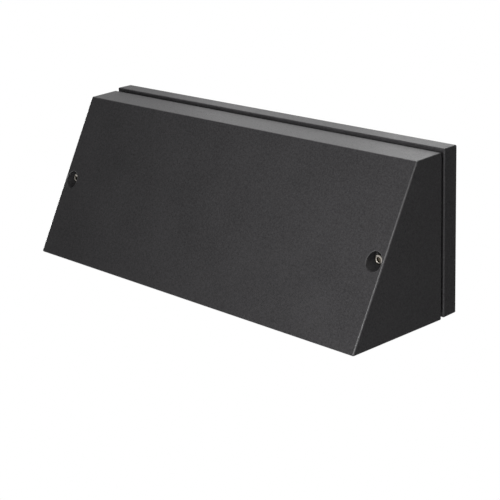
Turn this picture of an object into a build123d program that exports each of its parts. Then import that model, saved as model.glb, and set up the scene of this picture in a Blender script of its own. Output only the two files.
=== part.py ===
from build123d import *
import os
from math import cos, radians, tan

os.makedirs("parts", exist_ok=True)

# Wall light with a die-cast plate and a wedge cover that shines down through its underside.
# Millimetres. The wall is the plane Y = 0, the light stands out towards -Y, and +Z is up.
# A depth is a distance out from the wall, so a depth of 10 lies at Y = -10.

# Plate and cover, as seen from outside
light_width = 260.0
plate_height = 92.0
plate_depth = 10.0
reveal = 2.2  # dark gap between plate and cover
cover_height = 91.0
cover_drop = 1.0  # the cover's centre lies this far below the plate's
cover_top_depth = 19.4
cover_bottom_depth = 69.0
cover_draft = 1.15  # degrees
edge_radius = 0.8
end_edge_radius = 1.1  # slanted edges at the cover's ends
rim_break = 0.4

# Walls of the castings
plate_wall = 3.0
plate_web = 3.0
cover_wall = 3.0
cavity_radius = 1.5

# Neck that the cover slides over, and the gasket round it
neck_rise = 8.0
neck_wall = 2.4
neck_corner = 3.0
neck_clearance = 0.6
gasket_inset = 1.5
gasket_clearance = 0.3

# Cover screws: socket-head cap screws of 3 mm thread
screw_height = -2.9
screw_thread = 3.0
screw_tip_gap = 1.8  # from the screw's tip to the end of its hole
screw_head_diameter = 5.5
screw_head_height = 3.0
screw_socket = 2.5  # across flats
screw_socket_depth = 1.5
screw_head_break = 0.35
screw_recess = 3.6  # from the slanted face down to the head
recess_diameter = 9.5
recess_break = 0.25
recess_land = 0.1  # flat face between the recess and the rounded end edge
pillar_wall = 1.6
shank_clearance = 0.25
thread_clearance = 0.1
seal_thickness = 1.0
seal_diameter = 7.0
boss_diameter = 8.0
boss_rise = 12.0
boss_hole_depth = 9.5
blind_end_wall = 1.5

# Slots for the wall screws
slot_width = 5.0
slot_length = 10.0
slot_post_wall = 3.5
slot_from_end = 22.0

# Stiffening ribs behind the web
rib_thickness = 2.0
rib_height = 5.0
rib_pitch = 52.0
rib_count = 4

# Window, glass and the clips that hold it
window_width = 190.0
window_from_neck = 2.0  # from the neck to the glass's rebate
window_front_margin = 15.2  # from the window to the cover's front edge
ledge_width = 4.0
ledge_thickness = 2.4
glass_thickness = 4.0
glass_clearance = 0.5
glass_edge = 0.5
glass_gasket_thickness = 1.0
clip_thickness = 0.8
clip_width = 7.0
clip_grip = 3.5  # how far a clip lies over the glass
clip_boss_diameter = 7.0
clip_boss_gap = 2.0
clip_spacing = 30.0

# Small pan-head screws
pan_thread = 3.0
pan_head_diameter = 5.5
pan_head_height = 2.0
pan_slot_width = 0.8
pan_slot_depth = 1.0
pan_edge = 0.5
tray_screw_tip_gap = 1.0
clip_screw_length = 5.0
board_screw_length = 4.5
head_margin = 0.15  # between a screw head and the edge beside it

# Gear tray, a folded aluminium sheet
tray_thickness = 2.0
tray_top_gap = 1.0
tray_bend = 1.0
tray_screw_inset = 4.0
tray_screw_spacing = 18.0
shelf_end_margin = 4.0  # from the board's end to the shelf's
shelf_front_clearance = 2.4
boss_small_diameter = 7.0
boss_small_start = 3.5

# Light source under the shelf
pad_thickness = 0.5
board_length = 172.0
board_width = 14.0
board_thickness = 1.6
chip_pitch = 9.6
chip_length = 2.8
chip_width = 3.5
chip_height = 0.8
chip_room = 2.0  # least gap between the last chip and the connector
board_screw_pitches = 6  # outer board screws, counted in chip pitches from the middle
connector_length = 8.0
connector_width = 7.0
connector_height = 3.4
connector_inset = 1.0
reflector_thickness = 1.2
reflector_margin = 1.0  # between the board and the reflector's throat
reflector_corner = 2.0
throat_drop = 3.0  # straight part of the throat, beside the screw heads
reflector_lift = 3.0  # above the glass
reflector_screw_half_spacing = 70.0
reflector_wire_notch = 9.0

# Driver
driver_length = 90.0
driver_height = 25.0
driver_depth = 18.0
driver_wall = 1.5
driver_lid_thickness = 2.0
driver_lid_tongue = 1.5
driver_lid_clearance = 0.2
driver_top_gap = 2.0
driver_shelf_gap = 3.0
driver_from_tray_end = 19.0
driver_corner = 1.5
tab_length = 7.0
tab_width = 9.0
tab_thickness = 2.0
tab_above_bottom = 5.0
driver_standoff = 2.0
driver_standoff_width = 4.0
driver_board_clearance = 1.0
transformer_length = 18.0
transformer_height = 14.0
transformer_depth = 8.5
transformer_core_share = 0.5
capacitor_diameter = 8.0
capacitor_length = 9.0
capacitor_pitch = 11.0

# Terminal block
terminal_from_grommet = 24.0  # from the block's middle to the cable hole
terminal_length = 22.0
terminal_depth = 14.0
terminal_pitch = 8.0
terminal_poles = 3
terminal_edge_radius = 0.6
clamp_length = 17.0
clamp_size = 5.0
clamp_bore = 3.0
clamp_above_tray = 1.5
clamp_clearance = 0.2
clamp_screw_spacing = 10.0
clamp_screw_thread = 2.4
clamp_screw_head = 3.4
clamp_screw_reach = 1.2  # how far the screw stands into its clamp
clamp_screw_sink = 2.5  # from the block's face down to the head
ear_length = 6.5
ear_width = 7.0
ear_thickness = 2.5

# Earth connection
earth_gap = 6.0  # from the driver's tab to the earth screw
earth_lead_run = 11.0  # from the lug's barrel to the terminal block
lug_diameter = 8.0
lug_thickness = 0.8
lug_barrel_diameter = 3.4
lug_barrel_length = 5.0
earth_washer_thickness = 0.8
earth_washer_diameter = 7.0

# Cable entry
grommet_from_tray_end = 17.0
grommet_bore = 9.0
grommet_neck = 14.0
grommet_flange = 18.0
grommet_flange_thickness = 1.5
grommet_room = 3.0

# Leads
mains_lead_diameter = 2.2
led_lead_diameter = 1.6
lead_hole_clearance = 0.2
lead_in_clamp = 4.0
lead_above_tray = 5.0
lead_bend = 6.0
led_lead_room = 4.0  # from the shelf's end to the leads that pass it
led_lead_gap = 3.5
led_lead_bend = 5.0
led_lead_above_tray = 6.0
led_lead_below_top = 5.5

# Levels and depths that follow from the sizes above
draft_slope = tan(radians(cover_draft))
rim_depth = plate_depth + reveal
cover_middle = -cover_drop
cover_top = cover_middle + cover_height / 2
cover_bottom = cover_middle - cover_height / 2
front_top_depth = rim_depth + cover_top_depth
front_bottom_depth = rim_depth + cover_bottom_depth
front_top_height = cover_top - draft_slope * cover_top_depth
front_bottom_height = cover_bottom + draft_slope * cover_bottom_depth
front_rise = front_top_height - front_bottom_height
front_run = front_bottom_depth - front_top_depth
front_plane = Plane(
    origin=(0, -front_top_depth, front_top_height),
    x_dir=(1, 0, 0),
    z_dir=(0, -front_rise, front_run),
)
front_lean = Vector(0, front_run, front_rise).get_angle(Vector(0, 0, 1))

neck_width = light_width - 2 * (cover_wall + neck_clearance)
neck_height = cover_height - 2 * (cover_wall + neck_clearance)
neck_front = plate_depth + neck_rise
neck_inner_top = cover_middle + neck_height / 2 - neck_wall
boss_front = plate_depth + boss_rise
boss_hole_end = boss_front - boss_hole_depth
slot_x = light_width / 2 - slot_from_end
slot_spots = [(-slot_x, 0), (slot_x, 0)]


def front_depth(height):
    """Depth of the slanted face at a height."""
    return front_top_depth + (front_top_height - height) * front_run / front_rise


def inner_front_depth(height):
    """Depth of the slanted wall's inside at a height."""
    return front_depth(height) - cover_wall / cos(radians(front_lean))


face_end = light_width / 2 - draft_slope * (front_depth(screw_height) - rim_depth)
screw_x = face_end - end_edge_radius - recess_land - recess_break - recess_diameter / 2
screw_spots = [(-screw_x, screw_height), (screw_x, screw_height)]
screw_head_front = front_depth(screw_height) - screw_recess
screw_seat = screw_head_front - screw_head_height
recess_floor = screw_seat - seal_thickness
screw_length = screw_seat - boss_hole_end - screw_tip_gap
pillar_diameter = recess_diameter + 2 * pillar_wall

ledge_height = cover_bottom + ledge_thickness
glass_bottom = ledge_height + glass_gasket_thickness
glass_top = glass_bottom + glass_thickness
window_back = neck_front + window_from_neck + ledge_width
window_length = front_bottom_depth - window_front_margin - window_back
window_middle = window_back + window_length / 2
rebate_width = window_width + 2 * ledge_width
rebate_length = window_length + 2 * ledge_width
glass_width = rebate_width - 2 * glass_clearance
glass_length = rebate_length - 2 * glass_clearance
clip_boss_x = rebate_width / 2 + clip_boss_gap + clip_boss_diameter / 2
clip_boss_spots = [
    (side * clip_boss_x, -window_middle + row * clip_spacing / 2)
    for side in (-1, 1)
    for row in (-1, 1)
]

# The tray is as wide as the driver, the earth connection, the terminals and the cable hole in a row
tray_front = plate_depth + tray_thickness
driver_to_earth = tab_length + earth_gap
earth_to_terminal = lug_diameter / 2 + lug_barrel_length + earth_lead_run
terminal_to_tray_end = terminal_length / 2 + terminal_from_grommet + grommet_from_tray_end
driver_to_tray_end = driver_to_earth + earth_to_terminal + terminal_to_tray_end
tray_half_width = (driver_from_tray_end + driver_length + driver_to_tray_end) / 2
shelf_half_width = board_length / 2 + shelf_end_margin
driver_top = neck_inner_top - driver_top_gap
driver_bottom = driver_top - driver_height
driver_left = -tray_half_width + driver_from_tray_end
driver_right = driver_left + driver_length
driver_middle = (driver_left + driver_right) / 2
driver_front = tray_front + driver_depth
shelf_top = driver_bottom - driver_shelf_gap
shelf_bottom = shelf_top - tray_thickness
shelf_front = inner_front_depth(shelf_top) - shelf_front_clearance
tray_top = neck_inner_top - tray_top_gap
gear_middle = (driver_top + driver_bottom) / 2
tray_screw_length = tray_front - boss_small_start - blind_end_wall - tray_screw_tip_gap
tray_screw_x = tray_half_width - tray_screw_inset
tray_screw_spots = [
    (side * tray_screw_x, gear_middle + row * tray_screw_spacing / 2)
    for side in (-1, 1)
    for row in (-1, 1)
]
tab_height = driver_bottom + tab_above_bottom
tab_spots = [(driver_left - tab_length / 2, tab_height), (driver_right + tab_length / 2, tab_height)]

led_depth = (tray_front + shelf_front) / 2
pad_bottom = shelf_bottom - pad_thickness
board_bottom = pad_bottom - board_thickness
chip_reach = board_length / 2 - connector_inset - connector_length - chip_room - chip_length / 2
chip_count = 2 * int(chip_reach / chip_pitch + 0.5)  # none in the middle, where a screw is
board_screw_x = board_screw_pitches * chip_pitch
board_screw_spots = [(-board_screw_x, led_depth), (0, led_depth), (board_screw_x, led_depth)]
throat_length = board_length + 2 * reflector_margin
throat_width = board_width + 2 * reflector_margin
reflector_bottom = glass_top + reflector_lift
flange_bottom = shelf_bottom - reflector_thickness
throat_bottom = flange_bottom - throat_drop
flange_back = tray_front + tray_bend
flange_back_row = flange_back + pan_head_diameter / 2 + head_margin
flange_front_row = shelf_front - pan_head_diameter / 2 - head_margin
reflector_screw_spots = [
    (side * reflector_screw_half_spacing, depth)
    for side in (-1, 1)
    for depth in (flange_back_row, flange_front_row)
]

grommet_x = tray_half_width - grommet_from_tray_end
terminal_middle = grommet_x - terminal_from_grommet
terminal_left = terminal_middle - terminal_length / 2
terminal_right = terminal_middle + terminal_length / 2
terminal_height = terminal_poles * terminal_pitch + clamp_clearance
terminal_front = tray_front + terminal_depth
pole_heights = [
    gear_middle + (pole - (terminal_poles - 1) / 2) * terminal_pitch for pole in range(terminal_poles)
]
clamp_depth = tray_front + clamp_above_tray + clamp_size / 2
clamp_front = clamp_depth + clamp_size / 2
clamp_screw_front = terminal_front - clamp_screw_sink
clamp_screw_spots = [
    (terminal_middle + side * clamp_screw_spacing / 2, height)
    for height in pole_heights
    for side in (-1, 1)
]
ear_x = terminal_right + ear_length / 2
ear_spots = [(ear_x, pole_heights[0]), (ear_x, pole_heights[-1])]
earth_x = driver_right + driver_to_earth
earth_spot = [(earth_x, pole_heights[0])]


def facing_out(depth, spots):
    """Places on a plane parallel to the wall, with their Z axis out from the wall."""
    return [Plane.XZ.offset(depth).location * Location((x, z, 0)) for x, z in spots]


def facing_down(height, spots):
    """Places on a level plane, with their Z axis down. A spot is an x and a depth."""
    level = Plane(origin=(0, 0, height), x_dir=(1, 0, 0), z_dir=(0, 0, -1))
    return [level.location * Location((x, depth, 0)) for x, depth in spots]


def pan_head_screw(length):
    """A slotted pan-head screw, its head's seat at the origin and its head along +Z."""
    with BuildPart() as screw:
        with BuildSketch(Plane.XY):
            Circle(pan_head_diameter / 2)
        extrude(amount=pan_head_height)
        fillet(screw.edges().group_by(Axis.Z)[-1], pan_edge)
        with BuildSketch(Plane.XY.offset(pan_head_height - pan_slot_depth)):
            Rectangle(pan_head_diameter, pan_slot_width)
        extrude(amount=pan_slot_depth, mode=Mode.SUBTRACT)
        with BuildSketch(Plane.XY):
            Circle(pan_thread / 2)
        extrude(amount=-length)
    return screw.part


def lead(points, diameter, bend):
    """An insulated lead along straight runs joined by arcs."""
    with BuildPart() as tube:
        with BuildLine() as route:
            FilletPolyline(*points, radius=bend)
        with BuildSketch(Plane(origin=route.wire() @ 0, z_dir=route.wire() % 0)):
            Circle(diameter / 2)
        sweep()
    return tube.part


def finish(builder, name):
    """Names a finished piece and writes it."""
    builder.part.label = name
    export_step(builder.part, f"parts/{name}.step")


# Wall plate: a shallow pan, open at the back, with the neck and its bosses on the front
with BuildPart() as base_plate:
    with BuildSketch(Plane.XZ):
        Rectangle(light_width, plate_height)
    extrude(amount=plate_depth)
    wall_face = base_plate.faces().sort_by(Axis.Y)[-1]
    fillet(base_plate.edges() - wall_face.edges(), edge_radius)
    with BuildSketch(Plane.XZ):
        Rectangle(light_width - 2 * plate_wall, plate_height - 2 * plate_wall)
    extrude(amount=plate_depth - plate_web, mode=Mode.SUBTRACT)
    with BuildSketch(Plane.XZ.offset(plate_depth)):
        with Locations((0, cover_middle)):
            RectangleRounded(neck_width, neck_height, neck_corner)
            Rectangle(neck_width - 2 * neck_wall, neck_height - 2 * neck_wall, mode=Mode.SUBTRACT)
    extrude(amount=neck_rise)
    with BuildSketch(Plane.XZ.offset(plate_depth)):
        with Locations(*screw_spots):
            Circle(boss_diameter / 2)
        with Locations((0, cover_middle)):
            RectangleRounded(neck_width, neck_height, neck_corner, mode=Mode.INTERSECT)
    extrude(amount=boss_rise)
    with BuildSketch(Plane.XZ):
        with Locations(*slot_spots):
            SlotOverall(slot_length + 2 * slot_post_wall, slot_width + 2 * slot_post_wall)
    extrude(amount=plate_depth - plate_web)
    with BuildSketch(Plane.XZ.offset(boss_small_start)):
        with Locations(*tray_screw_spots, *earth_spot):
            Circle(boss_small_diameter / 2)
    extrude(amount=plate_depth - plate_web - boss_small_start)
    with BuildSketch(Plane.XZ.offset(plate_depth - plate_web - rib_height)):
        with GridLocations(rib_pitch, 0, rib_count, 1):
            Rectangle(rib_thickness, plate_height - 2 * plate_wall)
        with Locations((grommet_x, gear_middle)):
            Circle(grommet_flange / 2 + grommet_room, mode=Mode.SUBTRACT)
    extrude(amount=rib_height)
    with BuildSketch(Plane.XZ.offset(boss_hole_end)):
        with Locations(*screw_spots):
            Circle(screw_thread / 2 + thread_clearance)
    extrude(amount=boss_hole_depth, mode=Mode.SUBTRACT)
    with BuildSketch(Plane.XZ.offset(boss_small_start + blind_end_wall)):
        with Locations(*tray_screw_spots, *earth_spot):
            Circle(pan_thread / 2 + thread_clearance)
    extrude(amount=plate_depth - boss_small_start - blind_end_wall, mode=Mode.SUBTRACT)
    with BuildSketch(Plane.XZ):
        with Locations(*slot_spots):
            SlotOverall(slot_length, slot_width)
        with Locations((grommet_x, gear_middle)):
            Circle(grommet_neck / 2)
    extrude(amount=plate_depth, mode=Mode.SUBTRACT)
finish(base_plate, "base_plate")

# Flat gasket round the neck, which closes the gap and stays back from the edges
with BuildPart() as cover_gasket:
    with BuildSketch(Plane.XZ.offset(plate_depth)):
        with Locations((0, cover_middle)):
            RectangleRounded(light_width - 2 * gasket_inset, cover_height - 2 * gasket_inset, neck_corner)
            RectangleRounded(
                neck_width + 2 * gasket_clearance,
                neck_height + 2 * gasket_clearance,
                neck_corner,
                mode=Mode.SUBTRACT,
            )
    extrude(amount=reveal)
finish(cover_gasket, "cover_gasket")

# Rubber grommet in the plate's web, where the supply cable comes in
with BuildPart() as cable_grommet:
    with BuildSketch(Plane.XZ.offset(plate_depth - plate_web - grommet_flange_thickness)):
        with Locations((grommet_x, gear_middle)):
            Circle(grommet_flange / 2)
    extrude(amount=grommet_flange_thickness)
    with BuildSketch(Plane.XZ.offset(plate_depth - plate_web)):
        with Locations((grommet_x, gear_middle)):
            Circle(grommet_neck / 2)
    extrude(amount=plate_web)
    with BuildSketch(Plane.XZ.offset(plate_depth)):
        with Locations((grommet_x, gear_middle)):
            Circle(grommet_flange / 2)
    extrude(amount=grommet_flange_thickness)
    fillet(cable_grommet.edges().group_by(Axis.Y)[0], grommet_flange_thickness / 2)
    with BuildSketch(Plane.XZ):
        with Locations((grommet_x, gear_middle)):
            Circle(grommet_bore / 2)
    extrude(amount=plate_depth + grommet_flange_thickness, mode=Mode.SUBTRACT)
finish(cable_grommet, "cable_grommet")

# Hollow of the cover, which follows the outside one wall further in
with BuildPart() as cover_hollow:
    with BuildSketch(Plane.XZ.offset(rim_depth)):
        with Locations((0, cover_middle)):
            Rectangle(light_width - 2 * cover_wall, cover_height - 2 * cover_wall)
    extrude(amount=cover_bottom_depth, taper=cover_draft)
    split(bisect_by=front_plane.offset(-cover_wall), keep=Keep.BOTTOM)
    hollow_rim = cover_hollow.faces().sort_by(Axis.Y)[-1]
    fillet(cover_hollow.edges() - hollow_rim.edges(), cavity_radius)

# Pillars for the cover screws, from the plate's bosses to the middle of the slanted wall
with BuildPart() as screw_pillars:
    with BuildSketch(Plane.XZ.offset(boss_front)):
        with Locations(*screw_spots):
            Circle(pillar_diameter / 2)
    extrude(amount=front_bottom_depth - boss_front)
    split(bisect_by=front_plane.offset(-cover_wall / 2), keep=Keep.BOTTOM)

# Cover: a drafted wedge with a hollow, two screw pillars and the window in its underside
with BuildPart() as cover:
    with BuildSketch(Plane.XZ.offset(rim_depth)):
        with Locations((0, cover_middle)):
            Rectangle(light_width, cover_height)
    extrude(amount=cover_bottom_depth + cover_wall, taper=cover_draft)
    split(bisect_by=front_plane, keep=Keep.BOTTOM)
    slant = cover.faces().sort_by(Axis(front_plane.origin, front_plane.z_dir))[-1]
    slant_edges = slant.edges().sort_by(Axis.X)
    fillet([slant_edges[0], slant_edges[-1]], end_edge_radius)
    for level in (0, -1):
        rim = cover.faces().sort_by(Axis.Y)[-1]
        fillet(cover.faces().sort_by(Axis.Z)[level].edges() - rim.edges(), edge_radius)
    fillet(cover.faces().sort_by(Axis.Y)[-1].edges(), rim_break)
    add(cover_hollow.part, mode=Mode.SUBTRACT)
    add(screw_pillars.part)
    with BuildSketch(Plane.XY.offset(cover_bottom + ledge_thickness / 2)):
        with Locations(*clip_boss_spots):
            Circle(clip_boss_diameter / 2)
    extrude(amount=glass_top - cover_bottom - ledge_thickness / 2)
    with BuildSketch(Plane.XZ.offset(boss_front)):
        with Locations(*screw_spots):
            Circle(screw_thread / 2 + shank_clearance)
    extrude(amount=front_depth(screw_height) - boss_front, mode=Mode.SUBTRACT)
    with BuildSketch(Plane.XZ.offset(recess_floor)):
        with Locations(*screw_spots):
            Circle(recess_diameter / 2)
    extrude(amount=front_bottom_depth - recess_floor, mode=Mode.SUBTRACT)
    front_face = cover.faces().sort_by(Axis(front_plane.origin, front_plane.z_dir))[-1]
    chamfer([wire.edges() for wire in front_face.inner_wires()], recess_break)
    with BuildSketch(Plane.XY.offset(cover_bottom)):
        with Locations((0, -window_middle)):
            Rectangle(window_width, window_length)
    extrude(amount=cover_wall + ledge_thickness, mode=Mode.SUBTRACT)
    with BuildSketch(Plane.XY.offset(ledge_height)):
        with Locations((0, -window_middle)):
            Rectangle(rebate_width, rebate_length)
    extrude(amount=glass_top - ledge_height, mode=Mode.SUBTRACT)
    with BuildSketch(Plane.XY.offset(glass_top - clip_screw_length)):
        with Locations(*clip_boss_spots):
            Circle(pan_thread / 2 + thread_clearance)
    extrude(amount=clip_screw_length, mode=Mode.SUBTRACT)
finish(cover, "cover")

# Opal glass, its gasket on the ledge, and the clips that press it down
with BuildPart() as diffuser_gasket:
    with BuildSketch(Plane.XY.offset(ledge_height)):
        with Locations((0, -window_middle)):
            Rectangle(glass_width, glass_length)
            Rectangle(
                window_width + 2 * glass_clearance, window_length + 2 * glass_clearance, mode=Mode.SUBTRACT
            )
    extrude(amount=glass_gasket_thickness)
finish(diffuser_gasket, "diffuser_gasket")

with BuildPart() as diffuser:
    with BuildSketch(Plane.XY.offset(glass_bottom)):
        with Locations((0, -window_middle)):
            Rectangle(glass_width, glass_length)
    extrude(amount=glass_thickness)
    chamfer(diffuser.edges(), glass_edge)
finish(diffuser, "diffuser")

clip_length = clip_boss_diameter + clip_boss_gap + glass_clearance + clip_grip
with BuildPart() as diffuser_clips:
    with BuildSketch(Plane.XY.offset(glass_top)):
        for x, y in clip_boss_spots:
            inward = 1 if x < 0 else -1
            with Locations((x + inward * (clip_length - clip_boss_diameter) / 2, y)):
                Rectangle(clip_length, clip_width)
        with Locations(*clip_boss_spots):
            Circle(pan_thread / 2 + shank_clearance, mode=Mode.SUBTRACT)
    extrude(amount=clip_thickness)
    fillet(diffuser_clips.edges().filter_by(Axis.Z).filter_by(GeomType.LINE), edge_radius)
finish(diffuser_clips, "diffuser_clips")

clip_screw = pan_head_screw(clip_screw_length)
with BuildPart() as diffuser_clip_screws:
    with Locations(*[(x, y, glass_top + clip_thickness) for x, y in clip_boss_spots]):
        add(clip_screw)
finish(diffuser_clip_screws, "diffuser_clip_screws")

# Cover screws and the seals under their heads, one of each at either end
for side, spot in zip(("left", "right"), screw_spots):
    with BuildPart() as screw_seal:
        with Locations(*facing_out(recess_floor + seal_thickness / 2, [spot])):
            Cylinder(seal_diameter / 2, seal_thickness)
            Cylinder(screw_thread / 2 + thread_clearance, seal_thickness, mode=Mode.SUBTRACT)
    finish(screw_seal, f"{side}_screw_seal")

    with BuildPart() as cover_screw:
        with BuildSketch(Plane.XZ.offset(screw_seat)):
            with Locations(spot):
                Circle(screw_head_diameter / 2)
        extrude(amount=screw_head_height)
        fillet(cover_screw.edges().group_by(Axis.Y)[0], screw_head_break)
        with BuildSketch(Plane.XZ.offset(screw_head_front - screw_socket_depth)):
            with Locations(spot):
                RegularPolygon(screw_socket / 2, 6, major_radius=False)
        extrude(amount=screw_socket_depth, mode=Mode.SUBTRACT)
        with BuildSketch(Plane.XZ.offset(screw_seat - screw_length)):
            with Locations(spot):
                Circle(screw_thread / 2)
        extrude(amount=screw_length)
        chamfer(cover_screw.edges().group_by(Axis.Y)[-1], screw_head_break)
    finish(cover_screw, f"{side}_cover_screw")

# Gear tray: a back panel flat on the plate's web and a shelf that carries the light source
with BuildPart() as gear_tray:
    with BuildSketch(Plane.XZ.offset(plate_depth)):
        with Locations((0, (tray_top + shelf_bottom) / 2)):
            Rectangle(2 * tray_half_width, tray_top - shelf_bottom)
    extrude(amount=tray_thickness)
    with BuildSketch(Plane.XY.offset(shelf_bottom)):
        with Locations((0, -(plate_depth + shelf_front) / 2)):
            Rectangle(2 * shelf_half_width, shelf_front - plate_depth)
    extrude(amount=tray_thickness)
    inside_corner = gear_tray.edges().filter_by(Axis.X).filter_by_position(
        Axis.Y, -tray_front, -tray_front
    ).filter_by_position(Axis.Z, shelf_top, shelf_top)
    fillet(inside_corner, tray_bend)
    with BuildSketch(Plane.XZ.offset(plate_depth)):
        with Locations(*tray_screw_spots, *earth_spot):
            Circle(pan_thread / 2 + shank_clearance)
        with Locations(*tab_spots, *ear_spots):
            Circle(pan_thread / 2 + thread_clearance)
        with Locations((grommet_x, gear_middle)):
            Circle(grommet_flange / 2 + shank_clearance)
    extrude(amount=tray_thickness, mode=Mode.SUBTRACT)
    with Locations(*facing_down(shelf_bottom, board_screw_spots + reflector_screw_spots)):
        Cylinder(pan_thread / 2 + thread_clearance, 2 * tray_thickness, mode=Mode.SUBTRACT)
finish(gear_tray, "gear_tray")

tray_screw = pan_head_screw(tray_screw_length)
with BuildPart() as gear_tray_screws:
    with Locations(*facing_out(tray_front, tray_screw_spots)):
        add(tray_screw)
finish(gear_tray_screws, "gear_tray_screws")

# Light source: pad, board, chips and connector hang under the shelf
with BuildPart() as thermal_pad:
    with BuildSketch(Plane.XY.offset(pad_bottom)):
        with Locations((0, -led_depth)):
            Rectangle(board_length, board_width)
        with Locations(*[(x, -depth) for x, depth in board_screw_spots]):
            Circle(pan_thread / 2 + shank_clearance, mode=Mode.SUBTRACT)
    extrude(amount=pad_thickness)
finish(thermal_pad, "thermal_pad")

with BuildPart() as led_board:
    with BuildSketch(Plane.XY.offset(board_bottom)):
        with Locations((0, -led_depth)):
            Rectangle(board_length, board_width)
        with Locations(*[(x, -depth) for x, depth in board_screw_spots]):
            Circle(pan_thread / 2 + shank_clearance, mode=Mode.SUBTRACT)
    extrude(amount=board_thickness)
finish(led_board, "led_board")

with BuildPart() as led_chips:
    with BuildSketch(Plane.XY.offset(board_bottom)):
        with Locations((0, -led_depth)):
            with GridLocations(chip_pitch, 0, chip_count, 1):
                Rectangle(chip_length, chip_width)
    extrude(amount=-chip_height)
finish(led_chips, "led_chips")

connector_left = -board_length / 2 + connector_inset
connector_bottom = board_bottom - connector_height
lead_entry_height = board_bottom - connector_height / 2
led_lead_depths = [led_depth - led_lead_gap / 2, led_depth + led_lead_gap / 2]
with BuildPart() as led_connector:
    with BuildSketch(Plane.XY.offset(connector_bottom)):
        with Locations((connector_left + connector_length / 2, -led_depth)):
            Rectangle(connector_length, connector_width)
    extrude(amount=connector_height)
    with BuildSketch(Plane.YZ.offset(connector_left)):
        with Locations(*[(-depth, lead_entry_height) for depth in led_lead_depths]):
            Circle(led_lead_diameter / 2 + lead_hole_clearance)
    extrude(amount=lead_in_clamp, mode=Mode.SUBTRACT)
finish(led_connector, "led_connector")

board_screw = pan_head_screw(board_screw_length)
with BuildPart() as led_board_screws:
    with Locations(*facing_down(board_bottom, board_screw_spots)):
        add(board_screw)
finish(led_board_screws, "led_board_screws")

# Reflector: a white trough that widens from the board to the window
with BuildPart() as reflector:
    with BuildSketch(Plane.XY.offset(throat_bottom)):
        with Locations((0, -led_depth)):
            RectangleRounded(
                throat_length + 2 * reflector_thickness,
                throat_width + 2 * reflector_thickness,
                reflector_corner,
            )
    with BuildSketch(Plane.XY.offset(reflector_bottom)):
        with Locations((0, -window_middle)):
            RectangleRounded(
                window_width + 2 * reflector_thickness,
                window_length + 2 * reflector_thickness,
                reflector_corner,
            )
    loft(ruled=True)
    with BuildSketch(Plane.XY.offset(throat_bottom)):
        with Locations((0, -led_depth)):
            RectangleRounded(throat_length, throat_width, reflector_corner)
    with BuildSketch(Plane.XY.offset(reflector_bottom)):
        with Locations((0, -window_middle)):
            RectangleRounded(window_width, window_length, reflector_corner)
    loft(ruled=True, mode=Mode.SUBTRACT)
    with BuildSketch(Plane.XY.offset(throat_bottom)):
        with Locations((0, -led_depth)):
            RectangleRounded(
                throat_length + 2 * reflector_thickness,
                throat_width + 2 * reflector_thickness,
                reflector_corner,
            )
            RectangleRounded(throat_length, throat_width, reflector_corner, mode=Mode.SUBTRACT)
    extrude(amount=throat_drop)
    with BuildSketch(Plane.XY.offset(flange_bottom)):
        with Locations((0, -(flange_back + shelf_front) / 2)):
            Rectangle(throat_length + 2 * reflector_thickness, shelf_front - flange_back)
        with Locations((0, -led_depth)):
            RectangleRounded(throat_length, throat_width, reflector_corner, mode=Mode.SUBTRACT)
        with Locations(*[(x, -depth) for x, depth in reflector_screw_spots]):
            Circle(pan_thread / 2 + shank_clearance, mode=Mode.SUBTRACT)
    extrude(amount=reflector_thickness)
    with BuildSketch(Plane.XY.offset(flange_bottom)):
        with Locations((-throat_length / 2, -led_depth)):
            Rectangle(reflector_wire_notch, reflector_wire_notch)
    extrude(amount=connector_bottom - flange_bottom, mode=Mode.SUBTRACT)
finish(reflector, "reflector")

with BuildPart() as reflector_screws:
    with Locations(*facing_down(flange_bottom, reflector_screw_spots)):
        add(board_screw)
finish(reflector_screws, "reflector_screws")

# Driver: a case with a lid, and the circuit inside it
mains_lead_depth = tray_front + lead_above_tray
led_lead_depth = tray_front + led_lead_above_tray
mains_lead_heights = pole_heights[1:]
led_lead_height = driver_top - led_lead_below_top
driver_out_depths = [led_lead_depth, led_lead_depth + led_lead_gap]
with BuildPart() as driver_case:
    with BuildSketch(Plane.XZ.offset(tray_front)):
        with Locations((driver_middle, gear_middle)):
            RectangleRounded(driver_length, driver_height, driver_corner)
    extrude(amount=driver_depth - driver_lid_thickness)
    with BuildSketch(Plane.XZ.offset(tray_front + driver_wall)):
        with Locations((driver_middle, gear_middle)):
            Rectangle(driver_length - 2 * driver_wall, driver_height - 2 * driver_wall)
    extrude(amount=driver_depth, mode=Mode.SUBTRACT)
    with BuildSketch(Plane.XZ.offset(tray_front + driver_wall)):
        with Locations((driver_middle, gear_middle)):
            with GridLocations(
                driver_length - 2 * driver_wall - driver_standoff_width,
                driver_height - 2 * driver_wall - driver_standoff_width,
                2,
                2,
            ):
                Rectangle(driver_standoff_width, driver_standoff_width)
    extrude(amount=driver_standoff)
    with BuildSketch(Plane.XZ.offset(tray_front)):
        with Locations(*tab_spots):
            Rectangle(tab_length, tab_width)
            Circle(pan_thread / 2 + shank_clearance, mode=Mode.SUBTRACT)
    extrude(amount=tab_thickness)
    with BuildSketch(Plane.YZ.offset(driver_right - driver_wall)):
        with Locations(*[(-mains_lead_depth, height) for height in mains_lead_heights]):
            Circle(mains_lead_diameter / 2 + lead_hole_clearance)
    extrude(amount=driver_wall, mode=Mode.SUBTRACT)
    with BuildSketch(Plane.YZ.offset(driver_left)):
        with Locations(*[(-depth, led_lead_height) for depth in driver_out_depths]):
            Circle(led_lead_diameter / 2 + lead_hole_clearance)
    extrude(amount=driver_wall, mode=Mode.SUBTRACT)
finish(driver_case, "driver_case")

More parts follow.
